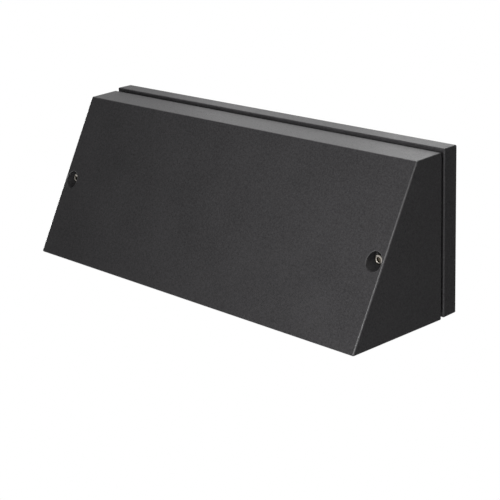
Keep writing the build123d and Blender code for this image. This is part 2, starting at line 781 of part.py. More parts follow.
with BuildPart() as driver_lid:
    with BuildSketch(Plane.XZ.offset(driver_front - driver_lid_thickness)):
        with Locations((driver_middle, gear_middle)):
            RectangleRounded(driver_length, driver_height, driver_corner)
    extrude(amount=driver_lid_thickness)
    fillet(driver_lid.edges().group_by(Axis.Y)[0], driver_lid_thickness / 2)
    tongue_inset = 2 * (driver_wall + driver_lid_clearance)
    with BuildSketch(Plane.XZ.offset(driver_front - driver_lid_thickness - driver_lid_tongue)):
        with Locations((driver_middle, gear_middle)):
            Rectangle(driver_length - tongue_inset, driver_height - tongue_inset)
            Rectangle(
                driver_length - tongue_inset - 2 * driver_wall,
                driver_height - tongue_inset - 2 * driver_wall,
                mode=Mode.SUBTRACT,
            )
    extrude(amount=driver_lid_tongue)
finish(driver_lid, "driver_lid")

driver_board_back = tray_front + driver_wall + driver_standoff
driver_board_front = driver_board_back + board_thickness
driver_board_inset = 2 * (driver_wall + driver_board_clearance)
with BuildPart() as driver_board:
    with BuildSketch(Plane.XZ.offset(driver_board_back)):
        with Locations((driver_middle, gear_middle)):
            Rectangle(driver_length - driver_board_inset, driver_height - driver_board_inset)
    extrude(amount=board_thickness)
finish(driver_board, "driver_board")

with BuildPart() as driver_transformer:
    with BuildSketch(Plane.XZ.offset(driver_board_front)):
        with Locations((driver_middle, gear_middle)):
            Rectangle(transformer_length, transformer_height * transformer_core_share)
            Rectangle(transformer_length * transformer_core_share, transformer_height)
    extrude(amount=transformer_depth)
finish(driver_transformer, "driver_transformer")

capacitor_middle = driver_middle + transformer_length / 2 + capacitor_pitch
with BuildPart() as driver_capacitors:
    with BuildSketch(Plane.XZ.offset(driver_board_front)):
        with Locations((capacitor_middle, gear_middle)):
            with GridLocations(capacitor_pitch, 0, 2, 1):
                Circle(capacitor_diameter / 2)
    extrude(amount=capacitor_length)
    fillet(driver_capacitors.edges().group_by(Axis.Y)[0], pan_edge)
finish(driver_capacitors, "driver_capacitors")

tab_screw = pan_head_screw(tab_thickness + tray_thickness - head_margin)
with BuildPart() as driver_screws:
    with Locations(*facing_out(tray_front + tab_thickness, tab_spots)):
        add(tab_screw)
finish(driver_screws, "driver_screws")

# Terminal block: a plastic body with a brass clamp and two screws for each pole
with BuildPart() as terminal_block:
    with BuildSketch(Plane.XZ.offset(tray_front)):
        with Locations((terminal_middle, gear_middle)):
            Rectangle(terminal_length, terminal_height)
    extrude(amount=terminal_depth)
    fillet(terminal_block.edges().group_by(Axis.Y)[0], terminal_edge_radius)
    with BuildSketch(Plane.XZ.offset(tray_front)):
        with Locations(*ear_spots):
            Rectangle(ear_length, ear_width)
            Circle(pan_thread / 2 + shank_clearance, mode=Mode.SUBTRACT)
    extrude(amount=ear_thickness)
    with BuildSketch(Plane.XZ.offset(tray_front + clamp_above_tray - clamp_clearance)):
        with Locations(*[(terminal_middle, height) for height in pole_heights]):
            Rectangle(clamp_length + 2 * clamp_clearance, clamp_size + 2 * clamp_clearance)
    extrude(amount=clamp_size + 2 * clamp_clearance, mode=Mode.SUBTRACT)
    with BuildSketch(Plane.XZ.offset(clamp_front)):
        with Locations(*clamp_screw_spots):
            Circle(clamp_screw_head / 2 + clamp_clearance)
    extrude(amount=terminal_depth, mode=Mode.SUBTRACT)
    with BuildSketch(Plane.YZ.offset(terminal_left)):
        with Locations(*[(-clamp_depth, height) for height in pole_heights]):
            Circle(clamp_bore / 2)
    extrude(amount=terminal_length, mode=Mode.SUBTRACT)
finish(terminal_block, "terminal_block")

with BuildPart() as terminal_clamps:
    with BuildSketch(Plane.XZ.offset(clamp_depth - clamp_size / 2)):
        with Locations(*[(terminal_middle, height) for height in pole_heights]):
            Rectangle(clamp_length, clamp_size)
    extrude(amount=clamp_size)
    with BuildSketch(Plane.YZ.offset(terminal_left)):
        with Locations(*[(-clamp_depth, height) for height in pole_heights]):
            Circle(clamp_bore / 2)
    extrude(amount=terminal_length, mode=Mode.SUBTRACT)
    with BuildSketch(Plane.XZ.offset(clamp_depth)):
        with Locations(*clamp_screw_spots):
            Circle(clamp_screw_thread / 2 + thread_clearance)
    extrude(amount=clamp_size, mode=Mode.SUBTRACT)
finish(terminal_clamps, "terminal_clamps")

with BuildPart() as terminal_screws:
    with BuildSketch(Plane.XZ.offset(clamp_front)):
        with Locations(*clamp_screw_spots):
            Circle(clamp_screw_head / 2)
    extrude(amount=clamp_screw_front - clamp_front)
    with BuildSketch(Plane.XZ.offset(clamp_screw_front - pan_slot_depth)):
        with Locations(*clamp_screw_spots):
            Rectangle(clamp_screw_head, pan_slot_width)
    extrude(amount=pan_slot_depth, mode=Mode.SUBTRACT)
    with BuildSketch(Plane.XZ.offset(clamp_front - clamp_screw_reach)):
        with Locations(*clamp_screw_spots):
            Circle(clamp_screw_thread / 2)
    extrude(amount=clamp_screw_reach)
finish(terminal_screws, "terminal_screws")

ear_screw = pan_head_screw(ear_thickness + tray_thickness - head_margin)
with BuildPart() as terminal_block_screws:
    with Locations(*facing_out(tray_front + ear_thickness, ear_spots)):
        add(ear_screw)
finish(terminal_block_screws, "terminal_block_screws")

# Earth connection: lug, toothed washer and screw on the tray
earth_height = pole_heights[0]
barrel_start = earth_x + lug_diameter / 2
barrel_depth = tray_front + lug_barrel_diameter / 2
with BuildPart() as earth_lug:
    with BuildSketch(Plane.XZ.offset(tray_front)):
        with Locations(*earth_spot):
            Circle(lug_diameter / 2)
        with Locations((earth_x + lug_diameter / 4, earth_height)):
            Rectangle(lug_diameter / 2 + lug_thickness, lug_barrel_diameter)
        with Locations(*earth_spot):
            Circle(pan_thread / 2 + shank_clearance, mode=Mode.SUBTRACT)
    extrude(amount=lug_thickness)
    with BuildSketch(Plane.YZ.offset(barrel_start)):
        with Locations((-barrel_depth, earth_height)):
            Circle(lug_barrel_diameter / 2)
    extrude(amount=lug_barrel_length)
    with BuildSketch(Plane.YZ.offset(barrel_start)):
        with Locations((-barrel_depth, earth_height)):
            Circle(mains_lead_diameter / 2 + lead_hole_clearance)
    extrude(amount=lug_barrel_length, mode=Mode.SUBTRACT)
finish(earth_lug, "earth_lug")

with BuildPart() as earth_washer:
    with BuildSketch(Plane.XZ.offset(tray_front + lug_thickness)):
        with Locations(*earth_spot):
            Circle(earth_washer_diameter / 2)
            Circle(pan_thread / 2 + shank_clearance, mode=Mode.SUBTRACT)
    extrude(amount=earth_washer_thickness)
finish(earth_washer, "earth_washer")

with BuildPart() as earth_screw:
    with Locations(*facing_out(tray_front + lug_thickness + earth_washer_thickness, earth_spot)):
        add(tray_screw)
finish(earth_screw, "earth_screw")

# Leads between driver, terminals, earth and light source
lead_step = (terminal_left - driver_right) / 3
for name, height in zip(("neutral_wire", "live_wire"), mains_lead_heights):
    with BuildPart() as mains_wire:
        mains_route = [
            (driver_right - driver_wall, -mains_lead_depth, height),
            (driver_right + lead_step, -mains_lead_depth, height),
            (terminal_left - lead_step, -clamp_depth, height),
            (terminal_left + lead_in_clamp, -clamp_depth, height),
        ]
        add(lead(mains_route, mains_lead_diameter, lead_bend))
    finish(mains_wire, name)

with BuildPart() as earth_wire:
    earth_start = barrel_start + lug_thickness
    earth_step = (terminal_left - barrel_start - lug_barrel_length) / 3
    earth_route = [
        (earth_start, -barrel_depth, earth_height),
        (barrel_start + lug_barrel_length + earth_step, -barrel_depth, earth_height),
        (terminal_left - earth_step, -clamp_depth, earth_height),
        (terminal_left + lead_in_clamp, -clamp_depth, earth_height),
    ]
    add(lead(earth_route, mains_lead_diameter, lead_bend))
finish(earth_wire, "earth_wire")

led_names = ("led_positive_wire", "led_negative_wire")
led_loop_x = -(shelf_half_width + led_lead_room)
for name, start_depth, end_depth in zip(led_names, driver_out_depths, led_lead_depths):
    with BuildPart() as led_wire:
        led_route = [
            (driver_left + driver_wall, -start_depth, led_lead_height),
            (led_loop_x, -start_depth, led_lead_height),
            (led_loop_x, -end_depth, lead_entry_height),
            (connector_left + lead_in_clamp, -end_depth, lead_entry_height),
        ]
        add(lead(led_route, led_lead_diameter, led_lead_bend))
    finish(led_wire, name)
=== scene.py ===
"""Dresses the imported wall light: finishes, small turned and moulded shapes, the studio and the camera."""

import logging
from collections.abc import Callable, Sequence
from dataclasses import dataclass, replace
from enum import StrEnum, auto
from math import cos, pi, radians, sin, tau
from typing import ClassVar

import bmesh
import bpy
from mathutils import Matrix, Vector


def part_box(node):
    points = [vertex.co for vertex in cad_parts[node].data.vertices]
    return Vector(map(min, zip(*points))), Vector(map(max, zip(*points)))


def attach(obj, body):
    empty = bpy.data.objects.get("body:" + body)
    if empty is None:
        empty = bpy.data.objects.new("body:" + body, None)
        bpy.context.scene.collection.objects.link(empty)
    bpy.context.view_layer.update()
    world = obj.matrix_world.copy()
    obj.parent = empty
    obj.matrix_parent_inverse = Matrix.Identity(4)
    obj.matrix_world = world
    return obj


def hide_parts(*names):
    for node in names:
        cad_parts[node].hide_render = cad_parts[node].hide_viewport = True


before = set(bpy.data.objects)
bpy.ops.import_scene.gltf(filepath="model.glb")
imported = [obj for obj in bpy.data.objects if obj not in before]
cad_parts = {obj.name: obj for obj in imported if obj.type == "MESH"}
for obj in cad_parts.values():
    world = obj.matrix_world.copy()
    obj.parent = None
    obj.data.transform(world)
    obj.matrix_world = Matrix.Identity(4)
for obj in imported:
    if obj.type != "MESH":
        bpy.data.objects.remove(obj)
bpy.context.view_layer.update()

LOG = logging.getLogger("wall_light")
MM = 0.001
HALF = 0.5
WHITE = (1.0, 1.0, 1.0)
SHARP_ANGLE = radians(32)

Colour = tuple[float, float, float]
Triple = tuple[float, float, float]
Ring = tuple[float | Callable[[float], float], float]
Material = bpy.types.Material
Shape = bpy.types.Mesh
Piece = bpy.types.Object


def centre(node: str) -> Vector:
    """The middle of a CAD node's box."""
    low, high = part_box(node)
    return (low + high) / 2


class Slot(StrEnum):
    """The record's material slots."""

    ANTHRACITE_COAT = auto()
    STAINLESS_STEEL = auto()
    ZINC_STEEL = auto()
    SPRING_STEEL = auto()
    BARE_ALUMINIUM = auto()
    BLACK_SILICONE = auto()
    GREY_SILICONE = auto()
    OPAL_GLASS = auto()
    WHITE_MASK = auto()
    GREEN_MASK = auto()
    PHOSPHOR = auto()
    WHITE_COAT = auto()
    WHITE_PLASTIC = auto()
    CLEAR_NYLON = auto()
    FERRITE = auto()
    CAPACITOR_SLEEVE = auto()
    BRASS = auto()
    TINNED_COPPER = auto()
    BROWN_INSULATION = auto()
    BLUE_INSULATION = auto()
    GREEN_YELLOW_INSULATION = auto()
    RED_INSULATION = auto()
    BLACK_INSULATION = auto()


class Body(StrEnum):
    """The bodies that pieces ride on."""

    BASE = auto()
    COVER = auto()
    LEFT_SCREW = auto()
    RIGHT_SCREW = auto()


class Side(StrEnum):
    """The two ends of the light, as seen from the front."""

    LEFT = auto()
    RIGHT = auto()


def operator(operation: str, swapped: bool = False) -> Callable[["Signal", "Signal | float"], "Signal"]:
    """Makes one of the arithmetic methods of a signal.

    Args:
        operation: The Math node's operation.
        swapped: Whether the value comes before the signal, as in 1 - mask.

    Returns:
        The method.
    """

    def method(signal: "Signal", value: "Signal | float") -> "Signal":
        """The result of the operation on a signal and a value."""
        return signal.math(operation, *((value, signal) if swapped else (signal, value)))

    return method


class Signal:
    """One output of a node, with arithmetic that adds Math nodes to its tree."""

    __add__, __radd__ = operator("ADD"), operator("ADD", swapped=True)
    __sub__, __rsub__ = operator("SUBTRACT"), operator("SUBTRACT", swapped=True)
    __mul__, __rmul__ = operator("MULTIPLY"), operator("MULTIPLY", swapped=True)
    __truediv__ = operator("DIVIDE")
    __gt__, __lt__ = operator("GREATER_THAN"), operator("LESS_THAN")

    def __init__(self, nodes: "NodeTree", socket: bpy.types.NodeSocket | None) -> None:
        """Keeps the tree and the socket."""
        self.nodes = nodes
        self.socket = socket

    def other(self, name: str) -> "Signal":
        """Another output of the same node."""
        return Signal(self.nodes, self.socket.node.outputs[name])

    def math(self, operation: str, *values: "Signal | float") -> "Signal":
        """The result of a Math node on some values."""
        return self.nodes.add("ShaderNodeMath", {"operation": operation}, dict(enumerate(values)))

    def __abs__(self) -> "Signal":
        """The size of this without its sign."""
        return self.math("ABSOLUTE", self)

    def wave(self, length: float) -> "Signal":
        """A sine between zero and one that repeats each time this grows by a length."""
        return self.math("SINE", self * (tau / length)) * HALF + HALF

    def hypot(self, other: "Signal") -> "Signal":
        """The length of a line whose two parts, square to each other, are this and another."""
        return self.math("POWER", self * self + other * other, HALF)


Pattern = tuple[Signal, Signal, Signal]


class NodeTree:
    """A node tree to which nodes are added by their type."""

    def __init__(self, tree: bpy.types.NodeTree) -> None:
        """Keeps the tree."""
        self.tree = tree

    def add(
        self,
        kind: str,
        settings: dict[str, object] | None = None,
        inputs: dict[str | int, object] | None = None,
        output: str | int = 0,
    ) -> Signal:
        """Adds a node.

        Args:
            kind: The node's type.
            settings: Its properties, which are set first.
            inputs: Values or signals for its sockets. A list feeds a socket that takes several links.
            output: The output to return.

        Returns:
            The wanted output, or a signal without a socket for a node that has none.
        """
        node = self.tree.nodes.new(kind)
        for name, value in (settings or {}).items():
            setattr(node, name, value)
        for key, value in (inputs or {}).items():
            for each in value if isinstance(value, list) else [value]:
                self.feed(node.inputs[key], each)
        return Signal(self, node.outputs[output] if len(node.outputs) else None)

    def feed(self, socket: bpy.types.NodeSocket, value: object) -> None:
        """Links a signal to a socket, or sets the socket's value.

        Args:
            socket: The input.
            value: A signal, a number, a material, or as many numbers as the socket needs.
        """
        if isinstance(value, Signal):
            self.tree.links.new(value.socket, socket)
        elif socket.type == "RGBA" and len(value) == 3:
            socket.default_value = (*value, 1.0)
        else:
            socket.default_value = value

    def vector(self, x: Signal | float, y: Signal | float, z: Signal | float) -> Signal:
        """A vector from its three parts."""
        return self.add("ShaderNodeCombineXYZ", inputs={"X": x, "Y": y, "Z": z})


class SurfaceTree(NodeTree):
    """The node tree of a material."""

    # The numbers of a Mix node's colour sockets.
    FIRST, SECOND, MIXED = 6, 7, 2

    def place(self, axis: str | None = None) -> Signal:
        """The Object coordinate, or one part of it."""
        spot = self.add("ShaderNodeTexCoord", output="Object")
        return self.add("ShaderNodeSeparateXYZ", inputs={0: spot}, output=axis) if axis else spot

    def noise(self, size: float, detail: float = 2.0, stretch: Triple = (1.0, 1.0, 1.0)) -> Signal:
        """Noise on the Object coordinates.

        Args:
            size: The size of its grains, in metres.
            detail: How many finer layers it has.
            stretch: How much closer the grains lie along each axis.

        Returns:
            A value about one half.
        """
        spot = self.add("ShaderNodeMapping", inputs={"Vector": self.place(), "Scale": stretch})
        return self.add("ShaderNodeTexNoise", inputs={"Vector": spot, "Scale": 1 / size, "Detail": detail})

    def mix(self, factor: Signal, first: Colour | Signal, second: Colour | Signal) -> Signal:
        """A colour between two others."""
        sockets = {"Factor": factor, self.FIRST: first, self.SECOND: second}
        return self.add("ShaderNodeMix", {"data_type": "RGBA", "clamp_factor": True}, sockets, self.MIXED)

    def step(self, value: Signal, low: float, high: float) -> Signal:
        """A smooth step from zero to one between two limits."""
        limits = {"Value": value, "From Min": low, "From Max": high}
        return self.add("ShaderNodeMapRange", {"interpolation_type": "SMOOTHSTEP"}, limits)


@dataclass(frozen=True)
class SlantedFace:
    """The cover's slanted front, from its top edge down to its bottom edge."""

    top_depth: float = 31.6 * MM
    top_height: float = 44.11 * MM
    bottom_depth: float = 81.2 * MM
    bottom_height: float = -45.11 * MM

    def top(self) -> Vector:
        """A point on its top edge."""
        return Vector((0, -self.top_depth, self.top_height))

    def bottom(self) -> Vector:
        """A point on its bottom edge."""
        return Vector((0, -self.bottom_depth, self.bottom_height))

    def leftward(self) -> Vector:
        """The level direction along the face, to its left end."""
        return Vector((-1, 0, 0))

    def along(self) -> Vector:
        """The direction up the face."""
        return (self.top() - self.bottom()).normalized()

    def inward(self) -> Vector:
        """The direction into the cover, square to the face."""
        return self.leftward().cross(self.along())


@dataclass(frozen=True)
class Finish:
    """A surface with a fine grain in its colour, gloss and relief."""

    colour: Colour
    roughness: float
    grain: float = 0.5 * MM
    spread: float = 0.1
    relief: float = 0.01 * MM
    metallic: float = 0.0
    specular: float = 0.5
    swing: float = 0.15
    detail: float = 2.0

    def shade(self, share: float) -> Colour:
        """The colour, made lighter or darker by a share."""
        return tuple(min(1.0, part * (1 + share)) for part in self.colour)

    def tint(self, nodes: SurfaceTree, value: Signal) -> Signal:
        """The colour, darker where a value is low and lighter where it is high."""
        return nodes.mix(value, self.shade(-self.spread), self.shade(self.spread))

    def rough(self, value: Signal) -> Signal:
        """The roughness, which swings about its mean as a value does about one half."""
        return self.roughness + (value - HALF) * self.swing

    def pattern(self, nodes: SurfaceTree) -> Pattern:
        """The finish's grain: its colour, roughness and height."""
        grain = nodes.noise(self.grain, self.detail)
        return self.tint(nodes, grain), self.rough(grain), grain

    def constants(self) -> dict[str, object]:
        """The shader's values that are the same all over."""
        return {"Metallic": self.metallic, "Specular IOR Level": self.specular}

    def gloss(self, nodes: SurfaceTree) -> dict[str, Signal]:
        """A clear layer that changes over the surface, where the finish has one."""
        return {}

    def material(self, name: str) -> Material:
        """Makes the material.

        Args:
            name: The material's name.

        Returns:
            A node material.
        """
        material = bpy.data.materials.new(name)
        material.use_nodes = True
        material.node_tree.nodes.clear()
        nodes = SurfaceTree(material.node_tree)
        colour, roughness, height = self.pattern(nodes)
        normal = nodes.add("ShaderNodeBump", inputs={"Distance": self.relief, "Height": height})
        sockets = {"Base Color": colour, "Roughness": roughness, "Normal": normal}
        sockets |= self.constants() | self.gloss(nodes)
        shader = nodes.add("ShaderNodeBsdfPrincipled", inputs=sockets)
        nodes.add("ShaderNodeOutputMaterial", inputs={"Surface": shader})
        return material


@dataclass(frozen=True)
class PowderCoat(Finish):
    """Fine sand-texture powder coat: small bumps and slow drifts of tone."""

    swing: float = 0.3
    detail: float = 1.0
    sand_size: float = 2.3
    grain_share: float = 0.6
    contrast: float = 2.2
    drift: float = 30 * MM
    drift_share: float = 0.5

    def pattern(self, nodes: SurfaceTree) -> Pattern:
        """Sand grains over a slow drift.

        Args:
            nodes: The material's tree.

        Returns:
            The colour, the roughness and the height.
        """
        grain = nodes.noise(self.grain, self.detail)
        sand = nodes.noise(self.grain * self.sand_size, self.detail)
        drift = nodes.noise(self.drift)
        height = grain * self.grain_share + sand * (1 - self.grain_share)
        tone = (height - HALF) * self.contrast + (drift - HALF) * self.drift_share + HALF
        return self.tint(nodes, tone), self.rough(grain), height


@dataclass(frozen=True)
class CastingCoat(PowderCoat):
    """The coat of the plate and the cover, which ran smooth over their edges as it cured."""

    face: SlantedFace = SlantedFace()
    half_width: float = 130 * MM
    plate_depth: float = 10 * MM
    plate_gloss: float = 0.3
    rim_depth: float = 12.2 * MM
    draft: float = 0.02
    recess_radius: float = 4.9 * MM
    recess_start: float = -2.94 * MM
    band: float = 0.8 * MM
    edge_roughness: float = 0.3

    def gloss(self, nodes: SurfaceTree) -> dict[str, Signal]:
        """The smooth edges.

        Args:
            nodes: The material's tree.

        Returns:
            The weight of the clear layer, which is nothing away from the edges.
        """
        across, depth, height = abs(nodes.place("X")), 0 - nodes.place("Y"), nodes.place("Z")
        normal = -self.face.inward()
        rise = (height - self.face.top_height) * normal.z
        to_face = (depth - self.face.top_depth) * -normal.y + rise
        to_end = across - self.half_width + (depth - self.rim_depth) * self.draft
        at_face = nodes.step(to_face, -self.band, -self.band / 2)
        at_end = nodes.step(to_end, -self.band, -self.band / 2)
        before = nodes.step(depth, self.plate_depth - self.band, self.plate_depth - self.band / 2)
        behind = 1 - nodes.step(depth, self.plate_depth + self.band / 4, self.plate_depth + self.band / 2)
        at_plate = before * behind * at_end * self.plate_gloss
        axis = centre("right_cover_screw")
        above = height - axis.z
        from_mouth = abs((across - axis.x).hypot(above) - self.recess_radius)
        at_mouth = 1 - nodes.step(from_mouth, self.band / 4, self.band / 2)
        upper = nodes.step(above, self.recess_start, 0.0)
        return {"Coat Weight": at_face * at_end + at_plate + at_mouth * at_face * upper}

    def constants(self) -> dict[str, object]:
        """The clear layer's roughness, beside the usual values."""
        return super().constants() | {"Coat Roughness": self.edge_roughness}


@dataclass(frozen=True)
class BrushedMetal(Finish):
    """Rolled or brushed metal with fine lines along one axis."""

    metallic: float = 1.0
    swing: float = 0.3
    detail: float = 3.0
    stretch: Triple = (0.04, 1.0, 1.0)
    line_share: float = 0.6
    cloud_size: float = 40.0
    cloud_swing: float = 0.2

    def pattern(self, nodes: SurfaceTree) -> Pattern:
        """Long fine lines over soft clouds.

        Args:
            nodes: The material's tree.

        Returns:
            The colour, the roughness and the height.
        """
        lines = nodes.noise(self.grain, self.detail, self.stretch)
        clouds = nodes.noise(self.grain * self.cloud_size)
        tone = lines * self.line_share + clouds * (1 - self.line_share)
        return self.tint(nodes, tone), self.rough(lines) + (clouds - HALF) * self.cloud_swing, lines


@dataclass(frozen=True)
class TurnedMetal(Finish):
    """Metal turned on a lathe, with rings about two axes that stand out from the wall at either end."""

    metallic: float = 1.0
    swing: float = 0.3
    tarnish_size: float = 4.0
    ring: float = 0.16 * MM
    ring_share: float = 0.35
    wobble: float = 0.08 * MM
    # Where the painted shade in the hexagon socket lies: its radius and its depth.
    socket_core: float = 1.395 * MM
    socket_radius: float = 1.5 * MM
    socket_start: float = 0.08 * MM
    socket_full: float = 0.48 * MM
    socket_end: float = 2.4 * MM
    socket_shade: Colour = (0.05, 0.042, 0.03)
    socket_shade_share: float = 0.85

    def pattern(self, nodes: SurfaceTree) -> Pattern:
        """Turning rings, a little uneven, with a trace of tarnish and painted shade in the socket.

        Args:
            nodes: The material's tree.

        Returns:
            The colour, the roughness and the height.
        """
        axis = centre("right_cover_screw")
        inside = nodes.place("Y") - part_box("right_cover_screw")[0].y
        radius = (abs(nodes.place("X")) - axis.x).hypot(nodes.place("Z") - axis.z)
        tarnish = nodes.noise(self.grain * self.tarnish_size)
        rings = (radius + tarnish * self.wobble).wave(self.ring)
        tone = rings * self.ring_share + tarnish * (1 - self.ring_share)
        within = 1 - nodes.step(radius, self.socket_core, self.socket_radius)
        below = nodes.step(inside, self.socket_start, self.socket_full) * (inside < self.socket_end)
        # Painted shade: the inside of the socket is mixed towards a dark colour.
        colour = nodes.mix(within * below * self.socket_shade_share, self.tint(nodes, tone), self.socket_shade)
        return colour, self.rough(tarnish), rings


@dataclass(frozen=True)
class PlatedMetal(Finish):
    """Plated or tinned metal with the faint patches of its bath."""

    metallic: float = 1.0
    swing: float = 0.35
    detail: float = 3.0
    patch_scale: float = 0.3
    patch_share: float = 0.6
    grain_share: float = 0.5

    def pattern(self, nodes: SurfaceTree) -> Pattern:
        """Patches of crystals under a fine grain.

        Args:
            nodes: The material's tree.

        Returns:
            The colour, the roughness and the height.
        """
        sockets = {"Vector": nodes.place(), "Scale": self.patch_scale / self.grain}
        patches = nodes.add("ShaderNodeTexVoronoi", {"feature": "SMOOTH_F1"}, sockets)
        grain = nodes.noise(self.grain, self.detail)
        tone = patches * self.patch_share + grain * self.grain_share
        return self.tint(nodes, tone), self.rough(grain), grain


@dataclass(frozen=True)
class Rubber(Finish):
    """Moulded silicone with a matt skin and a little dust."""

    swing: float = 0.2
    dust: Colour = (0.12, 0.12, 0.115)
    dust_share: float = 0.35
    speck_size: float = 1.7
    speck_detail: float = 3.0
    speck_low: float = 0.66
    speck_high: float = 0.76

    def pattern(self, nodes: SurfaceTree) -> Pattern:
        """A fine skin with specks of dust.

        Args:
            nodes: The material's tree.

        Returns:
            The colour, the roughness and the height.
        """
        skin = nodes.noise(self.grain, self.detail)
        spots = nodes.noise(self.grain * self.speck_size, self.speck_detail)
        specks = nodes.step(spots, self.speck_low, self.speck_high)
        colour = nodes.mix(specks * self.dust_share, self.tint(nodes, skin), self.dust)
        return colour, self.rough(skin), skin


@dataclass(frozen=True)
class OpalGlass(Finish):
    """Satin opal glass, milky all through."""

    swing: float = 0.1
    cloud_size: float = 60.0
    milk: float = 0.35
    depth: float = 3 * MM

    def pattern(self, nodes: SurfaceTree) -> Pattern:
        """Faint clouds and a satin grain: their colour, roughness and height."""
        clouds, grain = nodes.noise(self.grain * self.cloud_size), nodes.noise(self.grain, self.detail)
        return self.tint(nodes, clouds), self.rough(grain), grain

    def constants(self) -> dict[str, object]:
        """The light that goes on below the surface, beside the usual values."""
        below = {"Subsurface Weight": self.milk, "Subsurface Radius": WHITE, "Subsurface Scale": self.depth}
        return super().constants() | below


@dataclass(frozen=True)
class SolderMask(Finish):
    """A printed board under its mask, with raised tracks along it."""

    swing: float = 0.1
    track: float = 2.4 * MM
    track_low: float = 0.42
    track_high: float = 0.58
    track_share: float = 0.8
    break_length: float = 4.0
    break_low: float = 0.93
    break_high: float = 0.97
    copper: Colour = (0.75, 0.6, 0.42)
    copper_share: float = 0.1

    def pattern(self, nodes: SurfaceTree) -> Pattern:
        """Tracks that the mask half covers, with breaks across them.

        Args:
            nodes: The material's tree.

        Returns:
            The colour, the roughness and the height.
        """
        lengthways = nodes.step(nodes.place("Y").wave(self.track), self.track_low, self.track_high)
        crossways = nodes.place("X").wave(self.track * self.break_length)
        tracks = lengthways * (1 - nodes.step(crossways, self.break_low, self.break_high))
        grain = nodes.noise(self.grain, self.detail)
        colour = nodes.mix(tracks * self.copper_share, self.tint(nodes, grain), self.copper)
        return colour, self.rough(grain), tracks * self.track_share + grain * (1 - self.track_share)


@dataclass(frozen=True)
class Insulation(Finish):
    """Extruded insulation, with a second colour along a lead where it is given."""

    stretch: Triple = (0.1, 1.0, 1.0)
    stripe: Colour | None = None
    stripe_z: float = 0.0
    stripe_inner: float = 0.405 * MM
    stripe_outer: float = 0.495 * MM

    def pattern(self, nodes: SurfaceTree) -> Pattern:
        """Fine extrusion lines, and the stripe along the lead's side.

        Args:
            nodes: The material's tree.

        Returns:
            The colour, the roughness and the height.
        """
        lines = nodes.noise(self.grain, self.detail, self.stretch)
        colour = self.tint(nodes, lines)
        if self.stripe:
            height = abs(nodes.place("Z") - self.stripe_z)
            mask = 1 - nodes.step(height, self.stripe_inner, self.stripe_outer)
            colour = nodes.mix(mask, colour, self.stripe)
        return colour, self.rough(lines), lines


class Palette:
    """The materials, one for each slot."""

    # Each finish has its colour and roughness, then the size, spread of tone and relief of its grain.
    FINISHES: ClassVar[dict[Slot, Finish]] = {
        Slot.ANTHRACITE_COAT: CastingCoat(
            (0.0506, 0.0491, 0.0511), 0.34, 0.55 * MM, 0.33, 0.05 * MM, specular=0.05
        ),
        Slot.STAINLESS_STEEL: TurnedMetal((0.36, 0.335, 0.3), 0.2, 0.3 * MM, 0.15, 0.002 * MM),
        Slot.ZINC_STEEL: PlatedMetal((0.56, 0.57, 0.58), 0.3, 0.3 * MM, 0.18, 0.003 * MM),
        Slot.SPRING_STEEL: BrushedMetal((0.45, 0.45, 0.46), 0.32, 0.12 * MM, 0.15, 0.003 * MM),
        Slot.BARE_ALUMINIUM: BrushedMetal((0.62, 0.63, 0.64), 0.38, 0.2 * MM, 0.12, 0.004 * MM),
        Slot.BLACK_SILICONE: Rubber((0.012, 0.012, 0.0125), 0.7, 0.3 * MM, 0.3, 0.02 * MM, specular=0.2),
        Slot.GREY_SILICONE: Rubber(
            (0.22, 0.235, 0.26), 0.75, 0.4 * MM, 0.12, 0.02 * MM, specular=0.25, dust=(0.4, 0.4, 0.4)
        ),
        Slot.OPAL_GLASS: OpalGlass((0.8, 0.81, 0.8), 0.3, 0.1 * MM, 0.03, 0.002 * MM),
        Slot.WHITE_MASK: SolderMask((0.76, 0.76, 0.73), 0.35, 0.2 * MM, 0.04, 0.02 * MM),
        Slot.GREEN_MASK: SolderMask((0.012, 0.09, 0.025), 0.3, 0.2 * MM, 0.15, 0.03 * MM),
        Slot.PHOSPHOR: Finish((0.8, 0.52, 0.06), 0.3, 0.08 * MM, 0.12, 0.004 * MM),
        Slot.WHITE_COAT: PowderCoat((0.78, 0.78, 0.76), 0.6, 0.35 * MM, 0.04, 0.012 * MM, specular=0.3),
        Slot.WHITE_PLASTIC: Finish((0.7, 0.7, 0.675), 0.45, 0.18 * MM, 0.05, 0.01 * MM),
        Slot.CLEAR_NYLON: OpalGlass((0.66, 0.655, 0.6), 0.35, 0.25 * MM, 0.05, 0.006 * MM),
        Slot.FERRITE: Finish((0.02, 0.02, 0.021), 0.6, 0.25 * MM, 0.3, 0.02 * MM),
        Slot.CAPACITOR_SLEEVE: Finish((0.012, 0.015, 0.05), 0.3, 0.5 * MM, 0.15, 0.01 * MM),
        Slot.BRASS: PlatedMetal((0.6, 0.4, 0.13), 0.25, 0.3 * MM, 0.15, 0.003 * MM),
        Slot.TINNED_COPPER: PlatedMetal((0.58, 0.56, 0.52), 0.34, 0.25 * MM, 0.15, 0.005 * MM),
        Slot.BROWN_INSULATION: Insulation((0.075, 0.022, 0.008), 0.4, 0.15 * MM, 0.12, 0.005 * MM),
        Slot.BLUE_INSULATION: Insulation((0.012, 0.06, 0.3), 0.4, 0.15 * MM, 0.12, 0.005 * MM),
        Slot.GREEN_YELLOW_INSULATION: Insulation(
            (0.02, 0.2, 0.03), 0.4, 0.15 * MM, 0.12, 0.005 * MM, stripe=(0.75, 0.6, 0.02), stripe_z=16 * MM
        ),
        Slot.RED_INSULATION: Insulation((0.42, 0.012, 0.01), 0.4, 0.12 * MM, 0.12, 0.005 * MM),
        Slot.BLACK_INSULATION: Insulation((0.012, 0.012, 0.012), 0.4, 0.12 * MM, 0.2, 0.005 * MM),
    }

    def __init__(self) -> None:
        """Makes every material."""
        self.materials = {slot: finish.material(slot.value) for slot, finish in self.FINISHES.items()}

    def paint(self, node: str, material: Material) -> None:
        """Gives a CAD node a material."""
        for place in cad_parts[node].material_slots:
            place.material = material


